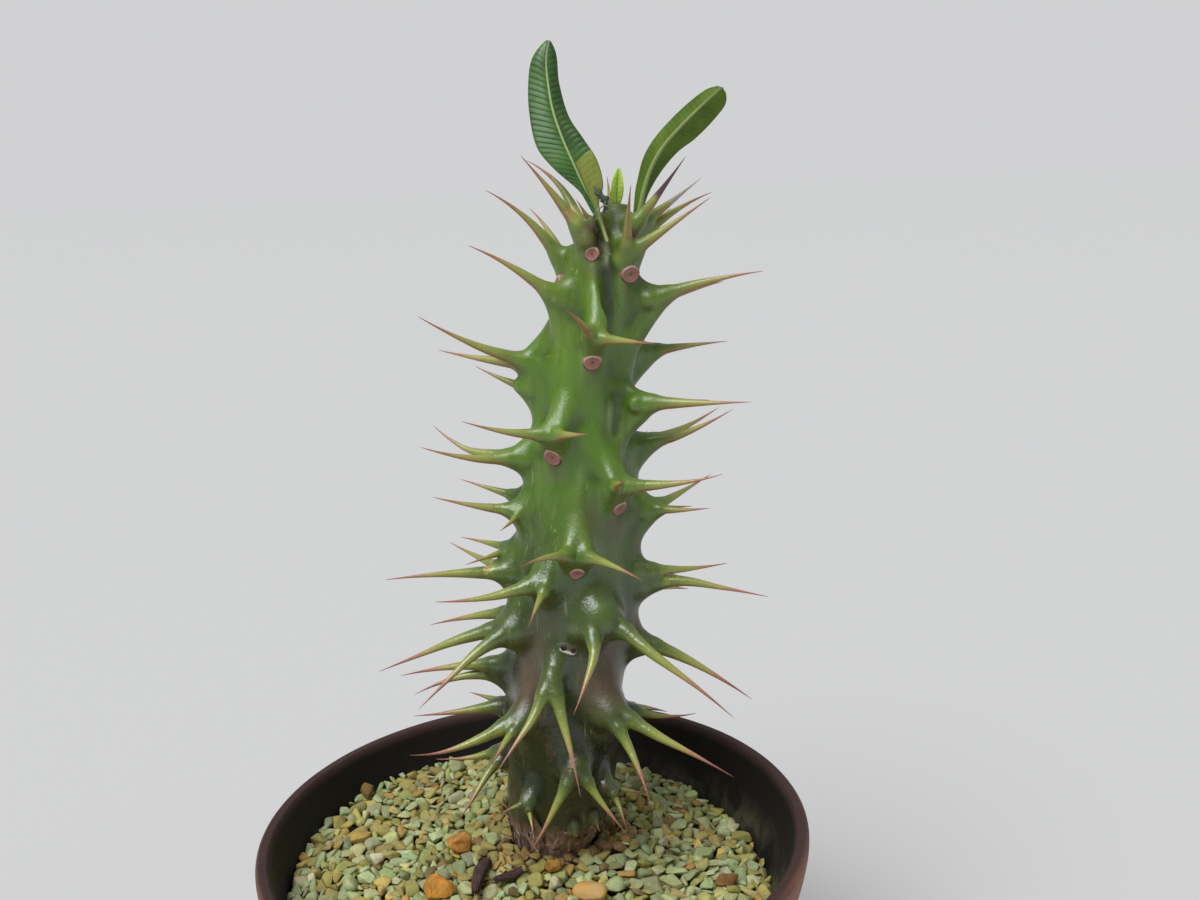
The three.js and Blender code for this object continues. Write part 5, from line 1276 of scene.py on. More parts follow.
def build_gravel():
    rng = np.random.default_rng(77)
    shapes = [chip_shape(100 + i, flat=(0.75 if i % 3 == 0 else 1.0), points=10 + i % 5, round_off=0.09) for i in range(20)]
    variants = []
    for si, (V, F) in enumerate(shapes):
        for _ in range(14):
            size = float(np.clip(rng.lognormal(math.log(3.85), 0.22), 2.3, 5.4))
            R = rotation(rng, 0.6)
            W = (V * size) @ R.T
            variants.append((si, size, R, W) + footprint(W, F))
    N = int(120 / CELL)
    half = N // 2
    c = (np.arange(N) - half + 0.5) * CELL
    X, Y = np.meshgrid(c, c, indexing="ij")
    goal = gravel_height(X, Y)
    wall = np.interp(goal, [52, 60, 66], [52.4, 55, 56.2]) - 0.15
    blocked = np.hypot(X, Y) > wall
    trunk = np.hypot(X - stem_x(goal), Y - STEM_Y) < stem_r(goal) + 0.1
    blocked |= trunk
    H = goal - 3.7
    free = np.argwhere(~blocked)
    placed = []
    stones = []
    for k, (name, x, y, L, D, Hh, turn, slot, ca, cb, seed) in enumerate(STONES):
        V, F = chip_shape(900 + seed, flat=1.15, points=15, round_off=0.10, soften=1)
        ext = V.max(0) - V.min(0)
        V = (V - (V.max(0) + V.min(0)) / 2) / ext * np.array([L, D, Hh])
        a = math.radians(turn)
        V = V @ np.array([[math.cos(a), -math.sin(a), 0], [math.sin(a), math.cos(a), 0], [0, 0, 1]]).T
        stones.append((name, V, F, np.array([x, y, gravel_height(x, y) + Hh / 2 + 0.25]), slot, ca, cb))
    kept_clear = []
    for name, (x0, y0), (x1, y1), thick, wide, seed in BARK:
        kept_clear.append((x0, y0, x1, y1, wide / 2 + 0.3))
    # stones and bark are known to the heap from the start: nothing comes to lie above them
    cap = np.full(H.shape, 1e9)
    for name, V, F, at, *_ in stones:
        I, J, zl, zh = footprint(V + np.array([at[0] % CELL, at[1] % CELL, 0]), F)
        I = I + int(math.floor(at[0] / CELL)) + half
        J = J + int(math.floor(at[1] / CELL)) + half
        ok = (I >= 0) & (I < N) & (J >= 0) & (J < N)
        cap[I[ok], J[ok]] = np.minimum(cap[I[ok], J[ok]], at[2] + zl[ok] + 0.5)
    for x0, y0, x1, y1, w in kept_clear:
        t = np.clip(((X - x0) * (x1 - x0) + (Y - y0) * (y1 - y0)) / ((x1 - x0) ** 2 + (y1 - y0) ** 2), 0, 1)
        d = np.hypot(X - x0 - t * (x1 - x0), Y - y0 - t * (y1 - y0))
        cap[d < w] = np.minimum(cap[d < w], goal[d < w] + 0.7)
    owner = np.full(H.shape, -1, np.int32)
    total = 3600
    tries = 12
    over = np.where(blocked, np.nan, H - goal)
    misses = 0
    while len(placed) < total and misses < 260:
        si, size, R, W, I, J, zl, zh = variants[rng.integers(len(variants))]
        best = None
        for q in free[rng.integers(len(free), size=tries)]:
            a, b = I + q[0], J + q[1]
            if a.min() < 0 or b.min() < 0 or a.max() >= N or b.max() >= N:
                continue
            if blocked[a, b].any():
                continue
            z = float(np.partition(H[a, b] - zl, -(1 + len(a) // 6))[-(1 + len(a) // 6)]) - 0.12
            top = z + zh
            if (top > cap[a, b]).any():
                continue
            g = goal[q[0], q[1]]
            if top.max() > g + 1.9 or z > g + 0.6:
                continue
            score = z - g
            if best is None or score < best[0]:
                best = (score, q, z, a, b, top)
        if best is None:
            misses += 1
            continue
        misses = 0
        _, q, z, a, b, top = best
        higher = top > H[a, b]
        H[a[higher], b[higher]] = top[higher]
        owner[a[higher], b[higher]] = len(placed)
        placed.append((si, W, np.array([q[0] - half, q[1] - half, 0]) * CELL + np.array([0, 0, z])))
    seen = np.unique(owner[owner >= 0], return_counts=True)
    visible = set(int(i) for i, n in zip(*seen) if n >= 2)
    print("chips", len(placed), "visible", len(visible), "mean above goal", float(np.mean((H - goal)[~blocked])))
    shares = np.cumsum([k[0] for k in KINDS])
    groups = {}
    for i, (si, W, at) in enumerate(placed):
        if i not in visible:
            continue
        F = shapes[si][1]
        near = math.hypot(at[0] - 4.0, at[1] - STEM_Y) - 11.5
        u = rng.uniform() * shares[-1]
        # browner and more ochre chips close behind and beside the stem
        if near < 9 and at[1] > -2 and rng.uniform() < 0.75 * (1 - near / 9):
            u = shares[-1] * rng.uniform(0.82, 0.98)
        elif near < 7 and at[0] < 4 and at[1] > -2 and rng.uniform() < 0.6:
            u = shares[-1] * rng.uniform(0.84, 0.98)
        elif rng.uniform() < 0.28 * float(smooth(6.0, -30.0, at[0])):
            u = shares[-1] * rng.uniform(0.60, 0.94)
        kind = KINDS[int(np.searchsorted(shares, u))] if u < shares[-1] else KINDS[-1]
        v = 1 + rng.normal() * kind[2]
        base = np.array(srgb(*[float(np.clip(c * v + rng.normal() * 4, 10, 250)) for c in kind[1]])[:3])
        g = groups.setdefault(kind[3], [[], [], [], [], [], 0])
        N3 = weighted_normals(W, F)
        P = W + at
        # painted shade: darker the lower a point lies below the gravel surface, and close to the stem, more so behind
        # it
        chip_shade = np.clip((gravel_height(P[:, 0], P[:, 1]) + 0.3 - P[:, 2]) / 2.8, 0, 1)
        chip_shade = np.maximum(chip_shade, 0.75 * np.clip(1 - near / 5.0, 0, 1) * (1 if at[1] > 0 else 0.6))
        own = rng.uniform(-1, 1, 3) * 0.05
        g[0].append(P)
        g[1].append(F + g[5])
        g[2].append(np.tile(base, (len(P), 1)))
        g[3].append(chip_shade)
        g[4].append((N3, np.tile(own, (len(P), 1))))
        g[5] += len(P)
    mat = gravel_material()
    for name, (P, F, T, D, NO, _) in sorted(groups.items()):
        ob = make_mesh(name, np.concatenate(P), np.concatenate(F), dict(tint=np.concatenate(T), chip_shade=np.concatenate(D)), materials=[mat])
        own = ob.data.attributes.new("own", "FLOAT_VECTOR", "POINT")
        own.data.foreach_set("vector", np.concatenate([o for _, o in NO]).astype(np.float32).ravel())
        ob.data.normals_split_custom_set_from_vertices(np.concatenate([n for n, _ in NO]).astype(np.float32))
        print(name, sum(len(f) for f in F))
        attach(ob, "root")
        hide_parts("gravel_layer")
    for name, V, F, at, slot, ca, cb in stones:
        N3 = weighted_normals(V, F)
        ob = make_mesh(name + "_visual", V + at, F, materials=[chip_material(name, srgb(*ca), srgb(*cb))])
        ob.data.normals_split_custom_set_from_vertices(N3.astype(np.float32))
        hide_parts(name)
        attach(ob, "root")


def bed_material():
    m = Tree("gravel_bed")
    P = m.pos()
    n = m.noise(P, 500.0, 5.0, 0.7)
    v = m.voronoi(P, 700.0)
    col = m.mix(n, srgb(34, 26, 16), srgb(88, 72, 44))
    m.set(Base_Color=col, Roughness=0.9, Normal=m.bump(m.math("ADD", n, v), 0.8, 0.001))
    return m.mat


def build_bed():
    """Fine grit between the soil and the loose chips."""
    na, nr = 150, 44
    th = np.arange(na) / na * 2 * np.pi
    cx, cy, cr = 2.9, STEM_Y, 10.6
    t = np.linspace(0, 1, nr)[:, None]
    ox, oy = 53.2 * np.cos(th), 53.2 * np.sin(th)
    ix, iy = cx + cr * np.cos(th), cy + cr * np.sin(th)
    x, y = ix * (1 - t) + ox * t, iy * (1 - t) + oy * t
    top = gravel_height(x, y) - 3.0
    P = np.stack([x, y, top], -1)
    P[..., 2] += fractal(P.reshape(-1, 3) * np.array([1, 1, 0]), 2.6, 3, 31).reshape(top.shape) * 0.9
    lim = np.interp(P[..., 2], [42, 52, 60], [48.2, 52.4, 55]) - 0.3
    rr = np.hypot(P[..., 0], P[..., 1])
    k = np.minimum(1, lim / rr)
    P[..., 0] *= k
    P[..., 1] *= k
    B = np.stack([x, y, np.full_like(x, 47.6)], -1)
    rr = np.hypot(B[..., 0], B[..., 1])
    k = np.minimum(1, 50.0 / rr)
    B[..., 0] *= k
    B[..., 1] *= k
    V = np.concatenate([P.reshape(-1, 3), B.reshape(-1, 3)])
    i, j = np.meshgrid(np.arange(nr - 1), np.arange(na), indexing="ij")
    i, j = i.ravel(), j.ravel()
    a, b, c, d = i * na + j, i * na + (j + 1) % na, (i + 1) * na + (j + 1) % na, (i + 1) * na + j
    up = np.stack([a, d, c, b], 1)
    off = nr * na
    down = np.stack([a, b, c, d], 1) + off
    j = np.arange(na)
    out = np.stack([(nr - 1) * na + j, off + (nr - 1) * na + j, off + (nr - 1) * na + (j + 1) % na, (nr - 1) * na + (j + 1) % na], 1)
    inn = np.stack([j, (j + 1) % na, off + (j + 1) % na, off + j], 1)
    ob = make_mesh("gravel_bed", V, np.concatenate([up, down, out, inn]), materials=[bed_material()])
    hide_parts("gravel_layer")
    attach(ob, "root")


# ------------------------------------------------------------------------ bark
def bark_material():
    m = Tree("bark")
    P = m.pos()
    fib = m.attr("fibre", "Vector")
    n = m.noise(m.scaled(fib, (0.25, 2.0, 2.0)), 1400.0, 5.0, 0.7, distortion=0.3)
    n2 = m.noise(P, 900.0, 4.0, 0.7)
    col = m.mix(m.ramp(n, 0.35, 0.65), srgb(46, 32, 32), srgb(96, 68, 60))
    col = m.mix(m.math("MULTIPLY", m.ramp(n2, 0.58, 0.78), 0.5), col, srgb(136, 104, 82))
    m.set(Base_Color=col, Roughness=0.75, Normal=m.bump(m.math("MULTIPLY_ADD", n, 1.4, m.math("MULTIPLY", n2, 0.5)), 0.7, 0.0006))
    return m.mat


# ends of each splinter, thickness, width, seed
BARK = [("bark_chip_long", (-11.0, 1.6), (-12.8, -12.6), 1.5, 2.6, 3), ("bark_chip_short", (-3.2, -2.2), (-9.4, -8.2), 1.2, 1.8, 8)]


def build_bark():
    """Splinters of bark: flat, ribbed lengthwise along the grain, torn off unevenly at both ends."""
    mat = bark_material()
    for name, (x0, y0), (x1, y1), thick, wide, seed in BARK:
        rng = np.random.default_rng(seed)
        z0 = max(gravel_height(x0, y0), gravel_height(x1, y1)) + 0.55 * thick + 0.55
        a, b = np.array([x0, y0, z0]), np.array([x1, y1, z0 - 0.25])
        L = np.linalg.norm(b - a)
        d = (b - a) / L
        w = np.array([-d[1], d[0], 0])
        up = np.cross(d, w) * np.sign(np.cross(d, w)[2])
        rings, sides = 44, 40
        th = np.arange(sides) / sides * 2 * np.pi
        c, s_ = np.cos(th), np.sin(th)
        u = np.sign(c) * np.abs(c) ** 0.75
        v = np.sign(s_) * np.abs(s_) ** 0.55
        # the grain's threads end at different lengths
        k = np.arange(sides)
        cut0 = 0.10 * L * (0.5 + 0.5 * value_noise(np.stack([u * 2.4, v * 1.2, 0 * u + seed], -1), 1.0, seed)) + rng.uniform(0, 0.45, sides) + 0.3 * (u > 0.2) * thick
        cut1 = 0.20 * L * (0.5 + 0.5 * value_noise(np.stack([u * 2.4, v * 1.2, 0 * u + seed + 9], -1), 1.0, seed + 1)) + rng.uniform(0, 0.6, sides)
        rib = 1 + 0.16 * value_noise(np.stack([u * wide * 1.5, v * thick * 1.5, 0 * u], -1), 0.62, seed + 3) + rng.normal(size=sides) * 0.035
        V, fib = [], []
        for t in np.linspace(0, 1, rings):
            x = cut0 + t * (L - cut0 - cut1)
            swell = 1 - 0.30 * np.abs(2 * t - 0.9) ** 2.2
            wob = 1 + 0.10 * value_noise(np.stack([x / 2.2, u * 1.2, v * 1.2 + seed], -1), 1.0, seed + 5)
            bend = 0.55 * math.sin(t * 2.9 + seed) * w + 0.30 * math.sin(t * 4.2 + seed * 2) * up
            tw = 0.35 * (t - 0.5)
            uu, vv = u * wide / 2 * swell * rib * wob, v * thick / 2 * rib * wob * (0.8 + 0.2 * swell)
            V.append(a + d * x[:, None] + w * (uu * math.cos(tw) - vv * math.sin(tw))[:, None] + up * (uu * math.sin(tw) + vv * math.cos(tw))[:, None] + bend)
            fib.append(np.stack([x * 0.001, u * wide * 0.0005, v * thick * 0.0005], 1))
        V, fib = np.concatenate(V), np.concatenate(fib)
        n = len(V)
        ends = np.array([V[:sides].mean(0) + d * 0.35, V[-sides:].mean(0) - d * 0.45])
        V = np.concatenate([V, ends])
        fib = np.concatenate([fib, fib[:sides].mean(0)[None], fib[-sides:].mean(0)[None]])
        i, j = np.meshgrid(np.arange(rings - 1), np.arange(sides), indexing="ij")
        i, j = i.ravel(), j.ravel()
        F = np.stack([i * sides + j, (i + 1) * sides + j, (i + 1) * sides + (j + 1) % sides, i * sides + (j + 1) % sides], 1)
        caps = np.concatenate([np.stack([k, (k + 1) % sides, np.full(sides, n)], 1),
                               np.stack([(rings - 1) * sides + (k + 1) % sides, (rings - 1) * sides + k, np.full(sides, n + 1)], 1)])
        ob = make_mesh(name + "_visual", V, [F, caps], materials=[mat])
        fa = ob.data.attributes.new("fibre", "FLOAT_VECTOR", "POINT")
        fa.data.foreach_set("vector", fib.astype(np.float32).ravel())
        fix_normals(ob)
        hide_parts(name)
        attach(ob, "root")


def fix_normals(ob):
    import bmesh
    bm = bmesh.new()
    bm.from_mesh(ob.data)
    bmesh.ops.recalc_face_normals(bm, faces=bm.faces[:])
    bm.to_mesh(ob.data)
    bm.free()


# ---------------------------------------------------------------------- leaves
LEAVES = {
    "leaf_left": ([(20.4, 5.0, 197.0), (19.2, 4.6, 200.4), (17.6, 4.5, 203.6), (15.5, 4.6, 207.1), (10.5, 5.4, 211.8), (7.7, 6.8, 215.6), (6.5, 8.1, 221.1), (6.4, 9.2, 227.5), (7.4, 9.8, 233.0), (10.5, 10.4, 236.5)],
                  [(20.9, 4.9, 196.6), (19.8, 4.7, 200.2), (18.5, 4.9, 203.8), (17.1, 5.4, 206.7), (14.7, 5.8, 212.6), (12.7, 6.3, 217.6), (11.1, 6.9, 222.9), (10.4, 7.8, 227.8), (10.2, 8.8, 232.7), (10.9, 10.0, 236.3)],
                  [(21.3, 5.0, 196.9), (20.4, 4.6, 200.4), (19.6, 4.3, 204.4), (20.5, 3.9, 207.9), (19.5, 4.4, 212.8), (17.1, 5.6, 216.9), (14.3, 7.2, 221.5), (12.6, 8.7, 228.1), (12.3, 9.6, 233.6), (11.3, 10.4, 236.3)]),
    "leaf_right": ([(26.2, 9.9, 199.4), (26.8, 10.4, 203.4), (27.3, 10.6, 207.4), (28.9, 10.8, 212.5), (31.1, 10.6, 216.4), (34.8, 9.8, 220.3), (38.6, 8.4, 223.5), (41.7, 7.1, 225.6), (43.8, 6.0, 226.0)],
                   [(26.9, 9.5, 199.2), (28.0, 9.3, 203.2), (28.8, 9.1, 206.4), (30.4, 8.6, 210.8), (32.9, 8.0, 214.9), (36.6, 7.2, 218.8), (40.6, 6.4, 222.4), (43.1, 5.9, 224.4), (44.9, 5.7, 225.8)],
                   [(27.5, 9.8, 199.3), (28.9, 10.1, 203.2), (30.2, 10.2, 206.6), (33.1, 10.0, 210.9), (36.2, 9.7, 214.0), (39.6, 8.9, 216.3), (43.7, 7.7, 220.3), (45.5, 6.9, 222.6), (45.5, 6.0, 224.6)]),
    "leaf_bud": ([(22.5, 10.5, 204.2), (22.2, 9.6, 206.8), (22.7, 9.6, 209.2), (23.6, 10.3, 211.1)],
                 [(23.3, 10.8, 204.1), (23.4, 10.5, 206.7), (23.7, 10.4, 209.1), (23.8, 10.5, 211.1)],
                 [(24.1, 10.5, 204.1), (24.8, 9.6, 206.7), (24.7, 9.6, 209.1), (24.2, 10.3, 211.1)]),
}


def thin_out(ob, verts, most):
    """Fewer triangles where the skin is even; only the listed vertices are merged."""
    tris = sum(len(p.vertices) - 2 for p in ob.data.polygons)
    if tris <= most:
        return
    group = ob.vertex_groups.new(name="even")
    group.add([int(i) for i in verts], 1.0, "REPLACE")
    mod = ob.modifiers.new("thin", "DECIMATE")
    mod.ratio = most / tris
    mod.vertex_group = "even"
    mod.vertex_group_factor = 1.0
    bpy.context.view_layer.update()
    me = bpy.data.meshes.new_from_object(ob.evaluated_get(bpy.context.evaluated_depsgraph_get()))
    old = ob.data
    ob.modifiers.clear()
    ob.data = me
    bpy.data.meshes.remove(old)
    ob.vertex_groups.clear()


def build_leaf(name, mat, ns, nt, thick, rib_top, rib_under, pitch, quilt, upper_faces_viewer, bulge):
    Lc, Mc, Rc = (catmull(c, ns) for c in LEAVES[name])
    s = np.linspace(0, 1, ns)
    t = np.sin(np.linspace(-np.pi / 2, np.pi / 2, nt)) * 0.35 + np.linspace(-1, 1, nt) * 0.65
    S, T = np.meshgrid(s, t, indexing="ij")
    a = np.abs(T)[..., None]
    side = np.where(T[..., None] < 0, Lc[:, None], Rc[:, None])
    base = Mc[:, None] * (1 - a) + side * a
    width = np.linalg.norm(side - Mc[:, None], axis=-1)
    # surface normal of the smooth sheet, towards the front of the plant
    ds = np.gradient(base, axis=0)
    dt = np.gradient(base, axis=1)
    n = np.cross(ds, dt)
    n /= np.maximum(np.linalg.norm(n, axis=-1, keepdims=True), 1e-9)
    if n[ns // 2, nt // 2, 1] > 0:
        n = -n
    for _ in range(3):
        n[1:-1] = (n[:-2] + n[1:-1] + n[2:]) / 3
        n[:, 1:-1] = (n[:, :-2] + n[:, 1:-1] + n[:, 2:]) / 3
    n /= np.maximum(np.linalg.norm(n, axis=-1, keepdims=True), 1e-9)
    A = np.abs(T)
    arc = np.r_[0, np.cumsum(np.linalg.norm(np.diff(Mc, axis=0), axis=1))]
    smm = arc[:, None] + 0 * T
    phase = (smm - A * width * 0.34) / pitch
    swell = np.abs(np.sin(np.pi * phase)) ** 0.7
    mask = smooth(0.06, 0.22, A) * smooth(1.0, 0.82, A) * smooth(0.02, 0.12, S) * smooth(0.99, 0.84, S)
    q = quilt * swell * mask
    arch = bulge * np.sin(np.pi * np.clip(A, 0, 1)) * width
    wave = 0.16 * value_noise(np.stack([smm, A * 3 + (T > 0) * 7, 0 * smm], -1).reshape(-1, 3), 4.5, 9).reshape(S.shape) * smooth(0.5, 1.0, A)
    mmd = A * np.maximum(width, 1e-6)
    tip = np.clip(1 - S, 0, 1)
    wt = rib_top * (0.35 + 0.65 * tip)
    wu = rib_under * (0.25 + 0.75 * tip)
    taper = np.sqrt(np.clip(1 - A**6, 0, 1)) * np.clip(np.minimum(1, (1 - S) * 30 + 0.0), 0, 1) ** 0.5
    half = thick / 2 * (0.35 + 0.65 * taper)
    groove = 0.12 * np.exp(-((mmd / wt) ** 2)) - 0.05 * np.exp(-(((mmd - 1.7 * wt) / wt) ** 2))
    ridge = 0.34 * wu / max(rib_under, 1e-6) * np.sqrt(np.clip(1 - (mmd / wu) ** 2, 0, 1)) * (rib_under > 0)
    sign = 1.0 if upper_faces_viewer else -1.0
    up_off = half + arch * 1.0 + q - groove + wave
    dn_off = -half + arch * 1.0 + q * 0.7 - ridge + wave
    if sign > 0:
        front, back = up_off, dn_off
    else:
        front, back = -dn_off, -up_off
    front_p = base + n * front[..., None]
    back_p = base + n * back[..., None]
    # margins meet
    for e in (0, nt - 1):
        m_ = (front_p[:, e] + back_p[:, e]) / 2
        front_p[:, e] = m_ + n[:, e] * 0.03
        back_p[:, e] = m_ - n[:, e] * 0.03
    V = np.concatenate([front_p.reshape(-1, 3), back_p.reshape(-1, 3)])
    i, j = np.meshgrid(np.arange(ns - 1), np.arange(nt - 1), indexing="ij")
    i, j = i.ravel(), j.ravel()
    F1 = np.stack([i * nt + j, i * nt + j + 1, (i + 1) * nt + j + 1, (i + 1) * nt + j], 1)
    off = ns * nt
    F2 = F1[:, ::-1] + off
    i = np.arange(ns - 1)
    F3 = np.stack([i * nt, (i + 1) * nt, off + (i + 1) * nt, off + i * nt], 1)
    F4 = np.stack([i * nt + nt - 1, off + i * nt + nt - 1, off + (i + 1) * nt + nt - 1, (i + 1) * nt + nt - 1], 1)
    j = np.arange(nt - 1)
    F5 = np.stack([j, off + j, off + j + 1, j + 1], 1)
    F6 = np.stack([(ns - 1) * nt + j, (ns - 1) * nt + j + 1, off + (ns - 1) * nt + j + 1, off + (ns - 1) * nt + j], 1)
    topness = np.concatenate([np.full(ns * nt, 1.0 if sign > 0 else 0.0), np.full(ns * nt, 0.0 if sign > 0 else 1.0)])
    rep = lambda v: np.tile(v.reshape(-1), 2)
    ob = make_mesh(name + "_visual", V, np.concatenate([F1, F2, F3, F4, F5, F6]),
                   dict(s=rep(S), t=rep(T), top=topness, phase=rep(phase), rib=rep(mmd / np.where(True, wt, 1)), ribu=rep(mmd / wu)), materials=[mat])
    fix_normals(ob)
    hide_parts(name)
    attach(ob, "root")
    return ob


def leaf_material(name, up, up_dark, up_light, under, under_light, rib, margin, olive=None, gloss=0.3, vein_light=0.5, painted_sheen=None):
    m = Tree(name)
    P = m.pos()
    s, t, top = m.attr("s"), m.attr("t"), m.attr("top")
    A = m.math("ABSOLUTE", t)
    ph = m.attr("phase")
    # a thin pale side vein in each groove and finer ones between
    tri = m.math("ABSOLUTE", m.math("SUBTRACT", m.math("FRACT", ph), 0.5))
    vein = m.ramp(tri, 0.42, 0.5)
    n1 = m.noise(P, 240.0, 4.0, 0.6)
    n2 = m.noise(P, 2200.0, 3.0, 0.6)
    u = m.mix(m.ramp(n1, 0.35, 0.65), up_dark, up)
    u = m.mix(m.math("MULTIPLY", m.ramp(tri, 0.40, 0.05), 0.26), u, up_light)
    u = m.mix(m.math("MULTIPLY", vein, vein_light * 0.9), u, up_dark)
    if painted_sheen is not None:
        # painted sheen: pale bluish bands between the veins on the left half, which faces the light
        patchy = m.ramp(m.noise(m.scaled(P, 1.0), 150.0, 3.0, 0.6), 0.30, 0.60, 0.35, 1.0)
        band = m.math("MULTIPLY", m.math("MULTIPLY", m.ramp(tri, 0.44, 0.22), patchy), m.math("MULTIPLY", m.ramp(s, 0.40, 0.54), m.ramp(s, 0.90, 0.72)))
        u = m.mix(m.math("MULTIPLY", m.math("MULTIPLY", band, m.math("MULTIPLY", m.ramp(t, -0.06, -0.30), m.ramp(t, -0.97, -0.85))), 0.42), u, painted_sheen)
        # painted shade on the upper right half, which faces away from the light
        u = m.mix(m.math("MULTIPLY", m.ramp(t, 0.02, 0.12), m.math("MULTIPLY", m.ramp(s, 0.42, 0.52), 0.62)), u, srgb(24, 52, 12))
    u = m.mix(m.math("MULTIPLY", n2, 0.12), u, up_light)
    if olive is not None:
        edge = m.math("SUBTRACT", m.math("MULTIPLY_ADD", A, 0.05, 0.40), s)
        k = m.math("MULTIPLY", m.ramp(edge, 0.0, 0.012), m.ramp(t, 0.07, 0.14))
        ol = m.mix(m.noise(m.scaled(P, (1, 1, 0.3)), 700.0, 4.0), olive[0], olive[1])
        u = m.mix(m.math("MULTIPLY", k, 0.92), u, ol)
    d = m.mix(m.ramp(n1, 0.3, 0.7), under, under_light)
    d = m.mix(m.math("MULTIPLY", vein, vein_light * 0.5), d, srgb(136, 148, 84))
    d = m.mix(m.math("MULTIPLY", n2, 0.15), d, under_light)
    ribt = m.ramp(m.attr("rib"), 1.25, 0.6)
    ribu = m.ramp(m.attr("ribu"), 1.25, 0.7)
    fade = m.ramp(s, 1.0, 0.80)
    u = m.mix(m.math("MULTIPLY", ribt, m.math("MULTIPLY_ADD", fade, 0.6, 0.3)), u, rib)
    d = m.mix(m.math("MULTIPLY", ribu, m.math("MULTIPLY_ADD", fade, 0.6, 0.2)), d, rib)
    col = m.mix(top, d, u)
    col = m.mix(m.math("MULTIPLY", m.ramp(A, 0.965, 0.99), 0.85), col, margin)
    rough = m.mix(top, (0.52, 0.52, 0.52, 1), (gloss, gloss, gloss, 1))
    h = m.math("MULTIPLY_ADD", n1, 0.5, m.math("MULTIPLY", n2, 0.2))
    m.set(Base_Color=col, Roughness=m.math("MULTIPLY_ADD", n2, 0.12, m.math("SUBTRACT", rough, 0.04)), Normal=m.bump(h, 0.15, 0.0003))
    m.bsdf.inputs["Specular IOR Level"].default_value = 0.5 if painted_sheen is not None else 0.3
    m.bsdf.inputs["Subsurface Weight"].default_value = 0.0
    return m.mat


def build_leaves():
    q = 1.0
    big = leaf_material("leaf_left", srgb(70, 112, 46), srgb(40, 80, 30), srgb(116, 152, 84), srgb(96, 120, 60), srgb(122, 142, 74), srgb(178, 198, 138),
                        srgb(96, 60, 36), olive=(srgb(108, 122, 40), srgb(164, 166, 82)), gloss=0.36, painted_sheen=srgb(158, 184, 158))
    right = leaf_material("leaf_right", srgb(64, 102, 36), srgb(44, 78, 26), srgb(106, 136, 66), srgb(72, 99, 20), srgb(94, 120, 32), srgb(158, 172, 112),
                          srgb(112, 78, 40), gloss=0.3, vein_light=0.35)
    young = leaf_material("leaf_bud", srgb(182, 214, 84), srgb(152, 192, 70), srgb(208, 226, 128), srgb(170, 192, 70), srgb(190, 206, 92), srgb(150, 190, 84),
                          srgb(226, 220, 90), gloss=0.35)
    build_leaf("leaf_left", big, int(280 * q), 45, 0.34, 0.34, 0.50, 1.15, 0.075, True, 0.10)
    build_leaf("leaf_right", right, int(240 * q), 45, 0.34, 0.30, 0.62, 1.10, 0.065, False, 0.08)
    build_leaf("leaf_bud", young, int(80 * q), 25, 0.30, 0.14, 0.20, 0.9, 0.04, True, 0.10)


def soil_material():
    m = Tree("soil")
    P = m.pos()
    n = m.noise(P, 300.0, 6.0, 0.7)
    v = m.voronoi(P, 420.0)
    col = m.mix(m.ramp(n, 0.35, 0.7), srgb(36, 27, 20), srgb(92, 74, 54))
    col = m.mix(m.math("MULTIPLY", m.ramp(v, 0.25, 0.1), 0.4), col, srgb(140, 124, 96))
    m.set(Base_Color=col, Roughness=0.92, Normal=m.bump(m.math("ADD", n, v), 0.9, 0.0015))
    return m.mat


# ------------------------------------------------------------- floor and light
def floor_material():
    m = Tree("floor")
    m.set(Base_Color=(0.62, 0.615, 0.614, 1), Roughness=0.9)
    return m.mat


def camera():
    C = Vector((17.76, -240.84, 209.76)) * 0.001
    p, r = math.radians(12.87), math.radians(-2.34)
    fwd = Vector((0, math.cos(p), -math.sin(p)))
    right = Vector((1, 0, 0))
    up = right.cross(fwd)
    r2 = right * math.cos(r) + up * math.sin(r)
    u2 = -right * math.sin(r) + up * math.cos(r)
    cam = bpy.data.cameras.new("camera")
    cam.lens, cam.sensor_width, cam.sensor_fit = 36.0, 36.0, "HORIZONTAL"
    cam.clip_start, cam.clip_end = 0.01, 60
    ob = bpy.data.objects.new("camera", cam)
    scene.collection.objects.link(ob)
    M = Matrix((r2, u2, -fwd)).transposed().to_4x4()
    M.translation = C
    ob.matrix_world = M
    scene.camera = ob


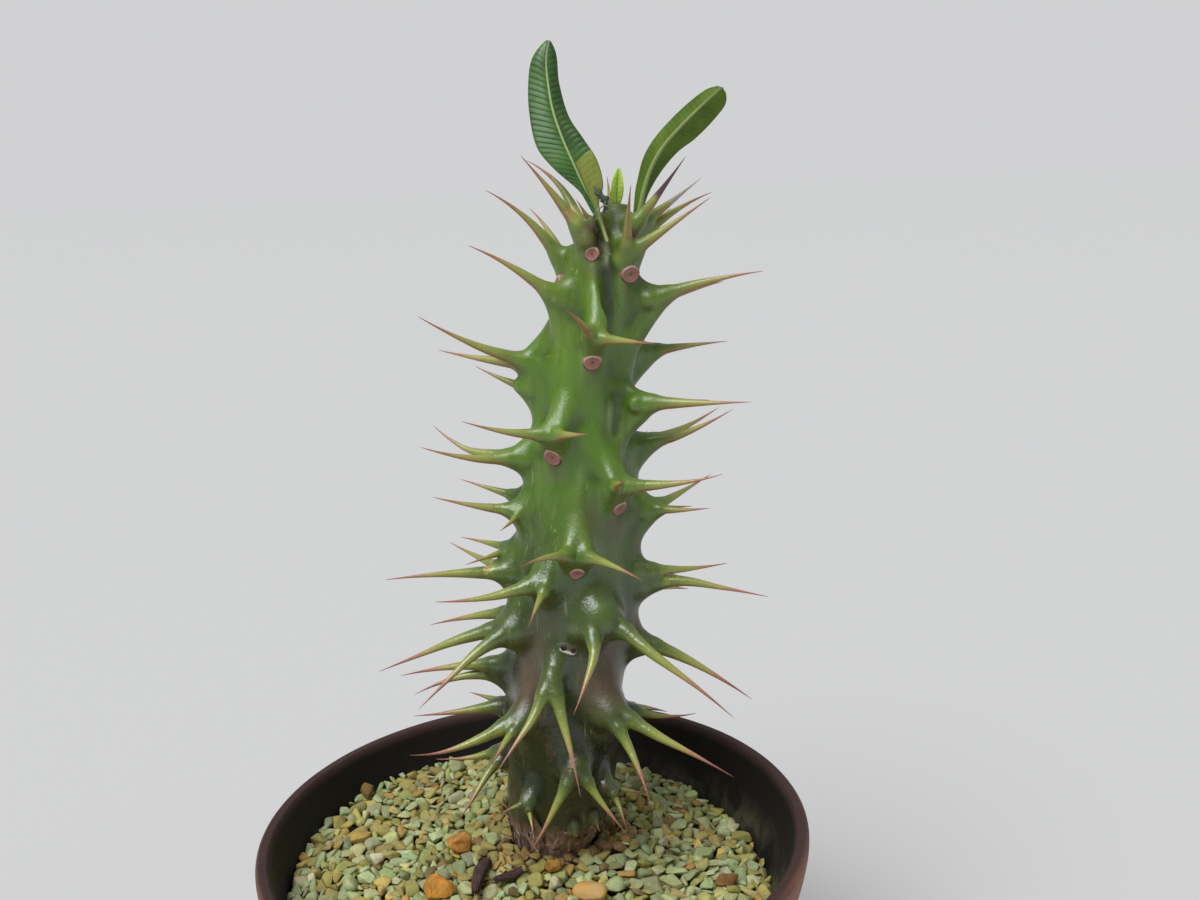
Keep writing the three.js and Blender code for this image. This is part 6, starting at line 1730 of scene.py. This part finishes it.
def sun(name, towards, strength, angle, color=(1, 1, 1)):
    l = bpy.data.lights.new(name, "SUN")
    l.energy = strength
    l.angle = math.radians(angle)
    l.color = color
    o = bpy.data.objects.new(name, l)
    scene.collection.objects.link(o)
    o.rotation_mode = "QUATERNION"
    o.rotation_quaternion = (-Vector(towards)).to_track_quat("-Z", "Y")
    return o


camera()
scene.view_settings.view_transform = "Standard"
world = bpy.data.worlds.new("studio")
scene.world = world
world.use_nodes = True
bg = world.node_tree.nodes["Background"]
wt = world.node_tree
# soft room light, stronger from above and behind, and an even pale backdrop where the lens sees it directly
way = wt.nodes.new("ShaderNodeTexCoord")
sep = wt.nodes.new("ShaderNodeSeparateXYZ")
wt.links.new(way.outputs["Generated"], sep.inputs[0])
back = wt.nodes.new("ShaderNodeMapRange")
wt.links.new(sep.outputs[1], back.inputs[0])
for k, v in ((1, -0.9), (2, 0.7), (3, 0.12), (4, 0.31)):
    back.inputs[k].default_value = v
above = wt.nodes.new("ShaderNodeMapRange")
wt.links.new(sep.outputs[2], above.inputs[0])
for k, v in ((1, 0.2), (2, 1.0), (3, 0.0), (4, 0.25)):
    above.inputs[k].default_value = v
total = wt.nodes.new("ShaderNodeMath")
total.operation = "ADD"
wt.links.new(back.outputs[0], total.inputs[0])
wt.links.new(above.outputs[0], total.inputs[1])
ray = wt.nodes.new("ShaderNodeLightPath")
pick = wt.nodes.new("ShaderNodeMix")
pick.data_type = "FLOAT"
wt.links.new(ray.outputs["Is Camera Ray"], pick.inputs[0])
wt.links.new(total.outputs[0], pick.inputs[2])
pick.inputs[3].default_value = 0.65
bg.inputs[0].default_value = (0.98, 0.985, 1.0, 1)
wt.links.new(pick.outputs[0], bg.inputs[1])
V = np.array([[-20000, -20000, 0], [20000, -20000, 0], [20000, 20000, 0], [-20000, 20000, 0]], float)
floor = make_mesh("floor", V, np.array([[0, 1, 2, 3]]), smooth_shade=False, materials=[floor_material()])
sun("key", (-0.42, -0.60, 1.16), 2.60, 40, (0.97, 0.99, 1.0))

build_stem(stem_material())
build_pot()
build_bed()
build_gravel()
build_bark()
build_leaves()
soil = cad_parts["potting_soil"]
soil.data.materials.clear()
soil.data.materials.append(soil_material())
